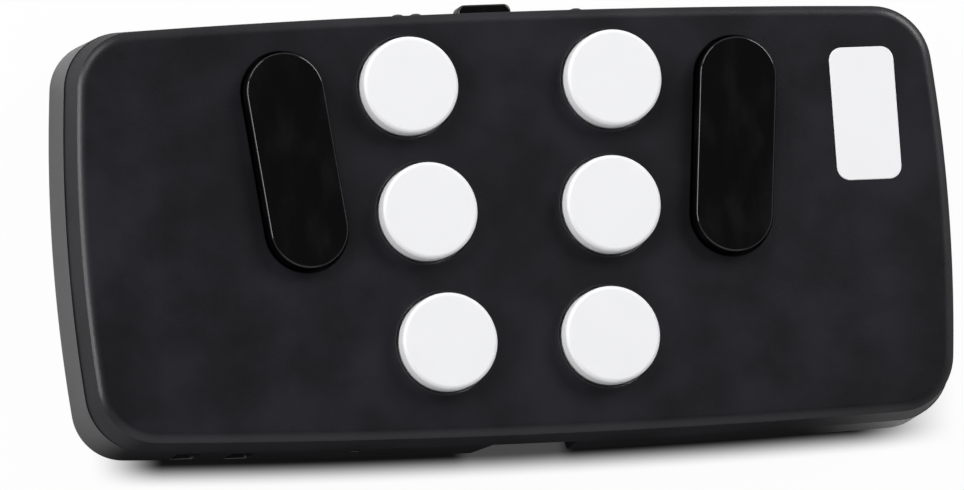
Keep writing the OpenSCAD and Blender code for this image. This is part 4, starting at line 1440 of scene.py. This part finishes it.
class KEYBOARD_OT_stage(Operator):
    """Sets up the floor, the lights and the camera"""

    bl_idname = "keyboard.stage"
    bl_label = "Stage"

    def execute(self, context):
        settings = context.scene.keyboard
        stage = settings.stage
        context.scene.view_settings.view_transform = "Standard"
        self.floor(settings)
        self.surroundings(context.scene, stage)
        for name, lamp in SOFTBOXES.items():
            self.softbox(name, stage, **lamp)
        self.camera(context.scene, settings)
        return {"FINISHED"}

    def floor(self, settings):
        """A round floor, open under the casing so that the back can be looked at from below."""
        outline = CasingOutline(settings.casing)
        inner = outline.points(settings.casing.back_edge + PAST)
        count = len(inner)
        mesh = bmesh.new()
        near = [mesh.verts.new((p.x, p.y, 0)) for p in inner]
        far = [mesh.verts.new((*(settings.stage.floor * p.normalized()), 0)) for p in inner]
        for k in range(count):
            after = (k + 1) % count
            mesh.faces.new((near[k], far[k], far[after], near[after]))
        floor = new_object("floor", mesh)
        floor.data.materials.append(self.floor_finish(settings))

    def floor_finish(self, settings):
        """Plain white that keeps shadows, has shade painted along the casing's lower edge, is painted dimmer in
        reflections and is clear from below.
        """
        stage = settings.stage
        shader = Shader("floor finish")
        camera = shader.node("ShaderNodeLightPath", output="Is Camera Ray")
        glossy = shader.node("ShaderNodeLightPath", output="Is Glossy Ray")
        paint = shader.node("ShaderNodeBsdfDiffuse", inputs={"Color": FLOOR_PAINT})
        glow = shader.node("ShaderNodeEmission", inputs={"Color": WHITE, "Strength": 1})
        lit = shader.node("ShaderNodeMixShader", inputs={0: FLOOR_GLOW * camera, 1: paint, 2: glow})
        dark = shader.node("ShaderNodeBsdfDiffuse", inputs={"Color": FLOOR_DARK})
        # Reflections in the walls see a wider painted shade than the eye does, and a floor painted dimmer
        # The contact shade is painted onto the floor by place, not cast
        contact = self.shade(shader, settings, stage.shade_far, SHADE_ENDS, RELIEF_LIGHT)
        mirrored = self.shade(shader, settings, stage.shade_mirrored, MIRRORED_ENDS, 0)
        dimmed = MIRRORED_DIM + (1 - MIRRORED_DIM) * mirrored
        shade = contact + glossy * (dimmed - contact)
        top = shader.node("ShaderNodeMixShader", inputs={0: shade, 1: lit, 2: dark})
        below = shader.node("ShaderNodeNewGeometry", output="Backfacing")
        clear = shader.node("ShaderNodeBsdfTransparent")
        whole = shader.node("ShaderNodeMixShader", inputs={0: below, 1: top, 2: clear})
        shader.node("ShaderNodeOutputMaterial", inputs={"Surface": whole})
        return shader.material

    def shade(self, shader, settings, far, ends, relief):
        """How deep the shade painted along the casing's lower edge is, painted a little lighter at the relief."""
        sizes = settings.casing
        edges = settings.edges
        centre = (-SHADE_LEFT * sizes.length, sizes.side_bow - sizes.width / 2, 0)
        pair = {0: shader.place, 1: centre}
        reach = shader.node("ShaderNodeVectorMath", {"operation": "DISTANCE"}, pair, "Value")
        along = shader.node("ShaderNodeSeparateXYZ", inputs={0: shader.place}, output="X")
        spot = middle("usb_socket").x
        half = edges.relief_width / 2
        wide = half + 2 * edges.relief_flare
        opens = shader.step(along, spot - wide, spot - half)
        closes = shader.step(along, spot + half, spot + wide)
        out = reach - sizes.side_bow
        left, right = (shader.step(along, low * sizes.length, high * sizes.length) for low, high in ends)
        under = shader.step(out, *(part * sizes.width for part in SHADE_UNDER))
        deep = under * (1 - shader.step(out, settings.stage.shade_near, far)) * left * (1 - right)
        return deep * (1 - relief * (opens * (1 - closes)))

    def surroundings(self, scene, stage):
        """Surroundings that are bright at the horizon and dim overhead, and look white."""
        world = bpy.data.worlds.new("surroundings")
        scene.world = world
        world.use_nodes = True
        graph = Graph(world.node_tree)
        graph.tree.nodes.clear()
        way = graph.node("ShaderNodeTexCoord", output="Generated")
        up = graph.node("ShaderNodeSeparateXYZ", inputs={0: way}, output="Z")
        rise = graph.step(up, *SKY_DIMS)
        seen = graph.node("ShaderNodeLightPath", output="Is Camera Ray")
        around = stage.horizon + (stage.zenith - stage.horizon) * rise
        strength = around + seen * (1 - around)
        sky = graph.node("ShaderNodeBackground", inputs={"Color": WHITE, "Strength": strength})
        graph.node("ShaderNodeOutputWorld", inputs={"Surface": sky})

    def softbox(self, name, stage, azimuth, elevation, extent, strength):
        """A rectangular light that faces the keyboard."""
        lamp = bpy.data.lights.new(name, "AREA")
        lamp.shape = "RECTANGLE"
        lamp.size, lamp.size_y = extent
        lamp.energy = strength * stage.lamp_power
        light = bpy.data.objects.new(name, lamp)
        tilt = Euler((0, -math.radians(elevation), math.radians(azimuth)))
        light.location = tilt.to_matrix() @ Vector((stage.lamp_reach, 0, 0))
        light.rotation_euler = (-light.location).to_track_quat("-Z", "Y").to_euler()
        bpy.context.scene.collection.objects.link(light)

    def camera(self, scene, settings):
        """The camera, where the photograph was taken from."""
        stage = settings.stage
        lens = bpy.data.cameras.new("camera")
        lens.lens = stage.lens
        lens.clip_end = 4 * stage.floor
        camera = bpy.data.objects.new("camera", lens)
        camera.rotation_euler = Euler((stage.pitch, stage.yaw, stage.roll))
        aim = Vector((-stage.aim_left, -stage.aim_down, settings.casing.face_z))
        camera.location = aim + camera.rotation_euler.to_matrix() @ Vector((0, 0, stage.camera_reach))
        scene.collection.objects.link(camera)
        scene.camera = camera


OPERATORS = (
    KEYBOARD_OT_inner_pieces,
    KEYBOARD_OT_front_shell,
    KEYBOARD_OT_back_shell,
    KEYBOARD_OT_round_keys,
    KEYBOARD_OT_bar_keys,
    KEYBOARD_OT_power_slider,
    KEYBOARD_OT_charging_socket,
    KEYBOARD_OT_screws,
    KEYBOARD_OT_tactile_pips,
    KEYBOARD_OT_blank_plate,
    KEYBOARD_OT_stage,
)


class KEYBOARD_PT_panel(Panel):
    """Lists the steps that build the keyboard"""

    bl_idname = "KEYBOARD_PT_panel"
    bl_label = "Braille keyboard"
    bl_space_type = "VIEW_3D"
    bl_region_type = "UI"
    bl_category = "Keyboard"

    def draw(self, context):
        for operator in OPERATORS:
            self.layout.operator(operator.bl_idname)


GROUPS = (CasingSizes, KeySizes, EdgeSizes, FastenerSizes, FinishColours, StageSizes, KeyboardSettings)
CLASSES = GROUPS + OPERATORS + (KEYBOARD_PT_panel,)


def register():
    for item in CLASSES:
        bpy.utils.register_class(item)
    bpy.types.Scene.keyboard = PointerProperty(type=KeyboardSettings)


def unregister():
    del bpy.types.Scene.keyboard
    for item in reversed(CLASSES):
        bpy.utils.unregister_class(item)


def main():
    register()
    for operator in OPERATORS:
        family, name = operator.bl_idname.split(".")
        getattr(getattr(bpy.ops, family), name)()


if __name__ == "__main__":
    main()
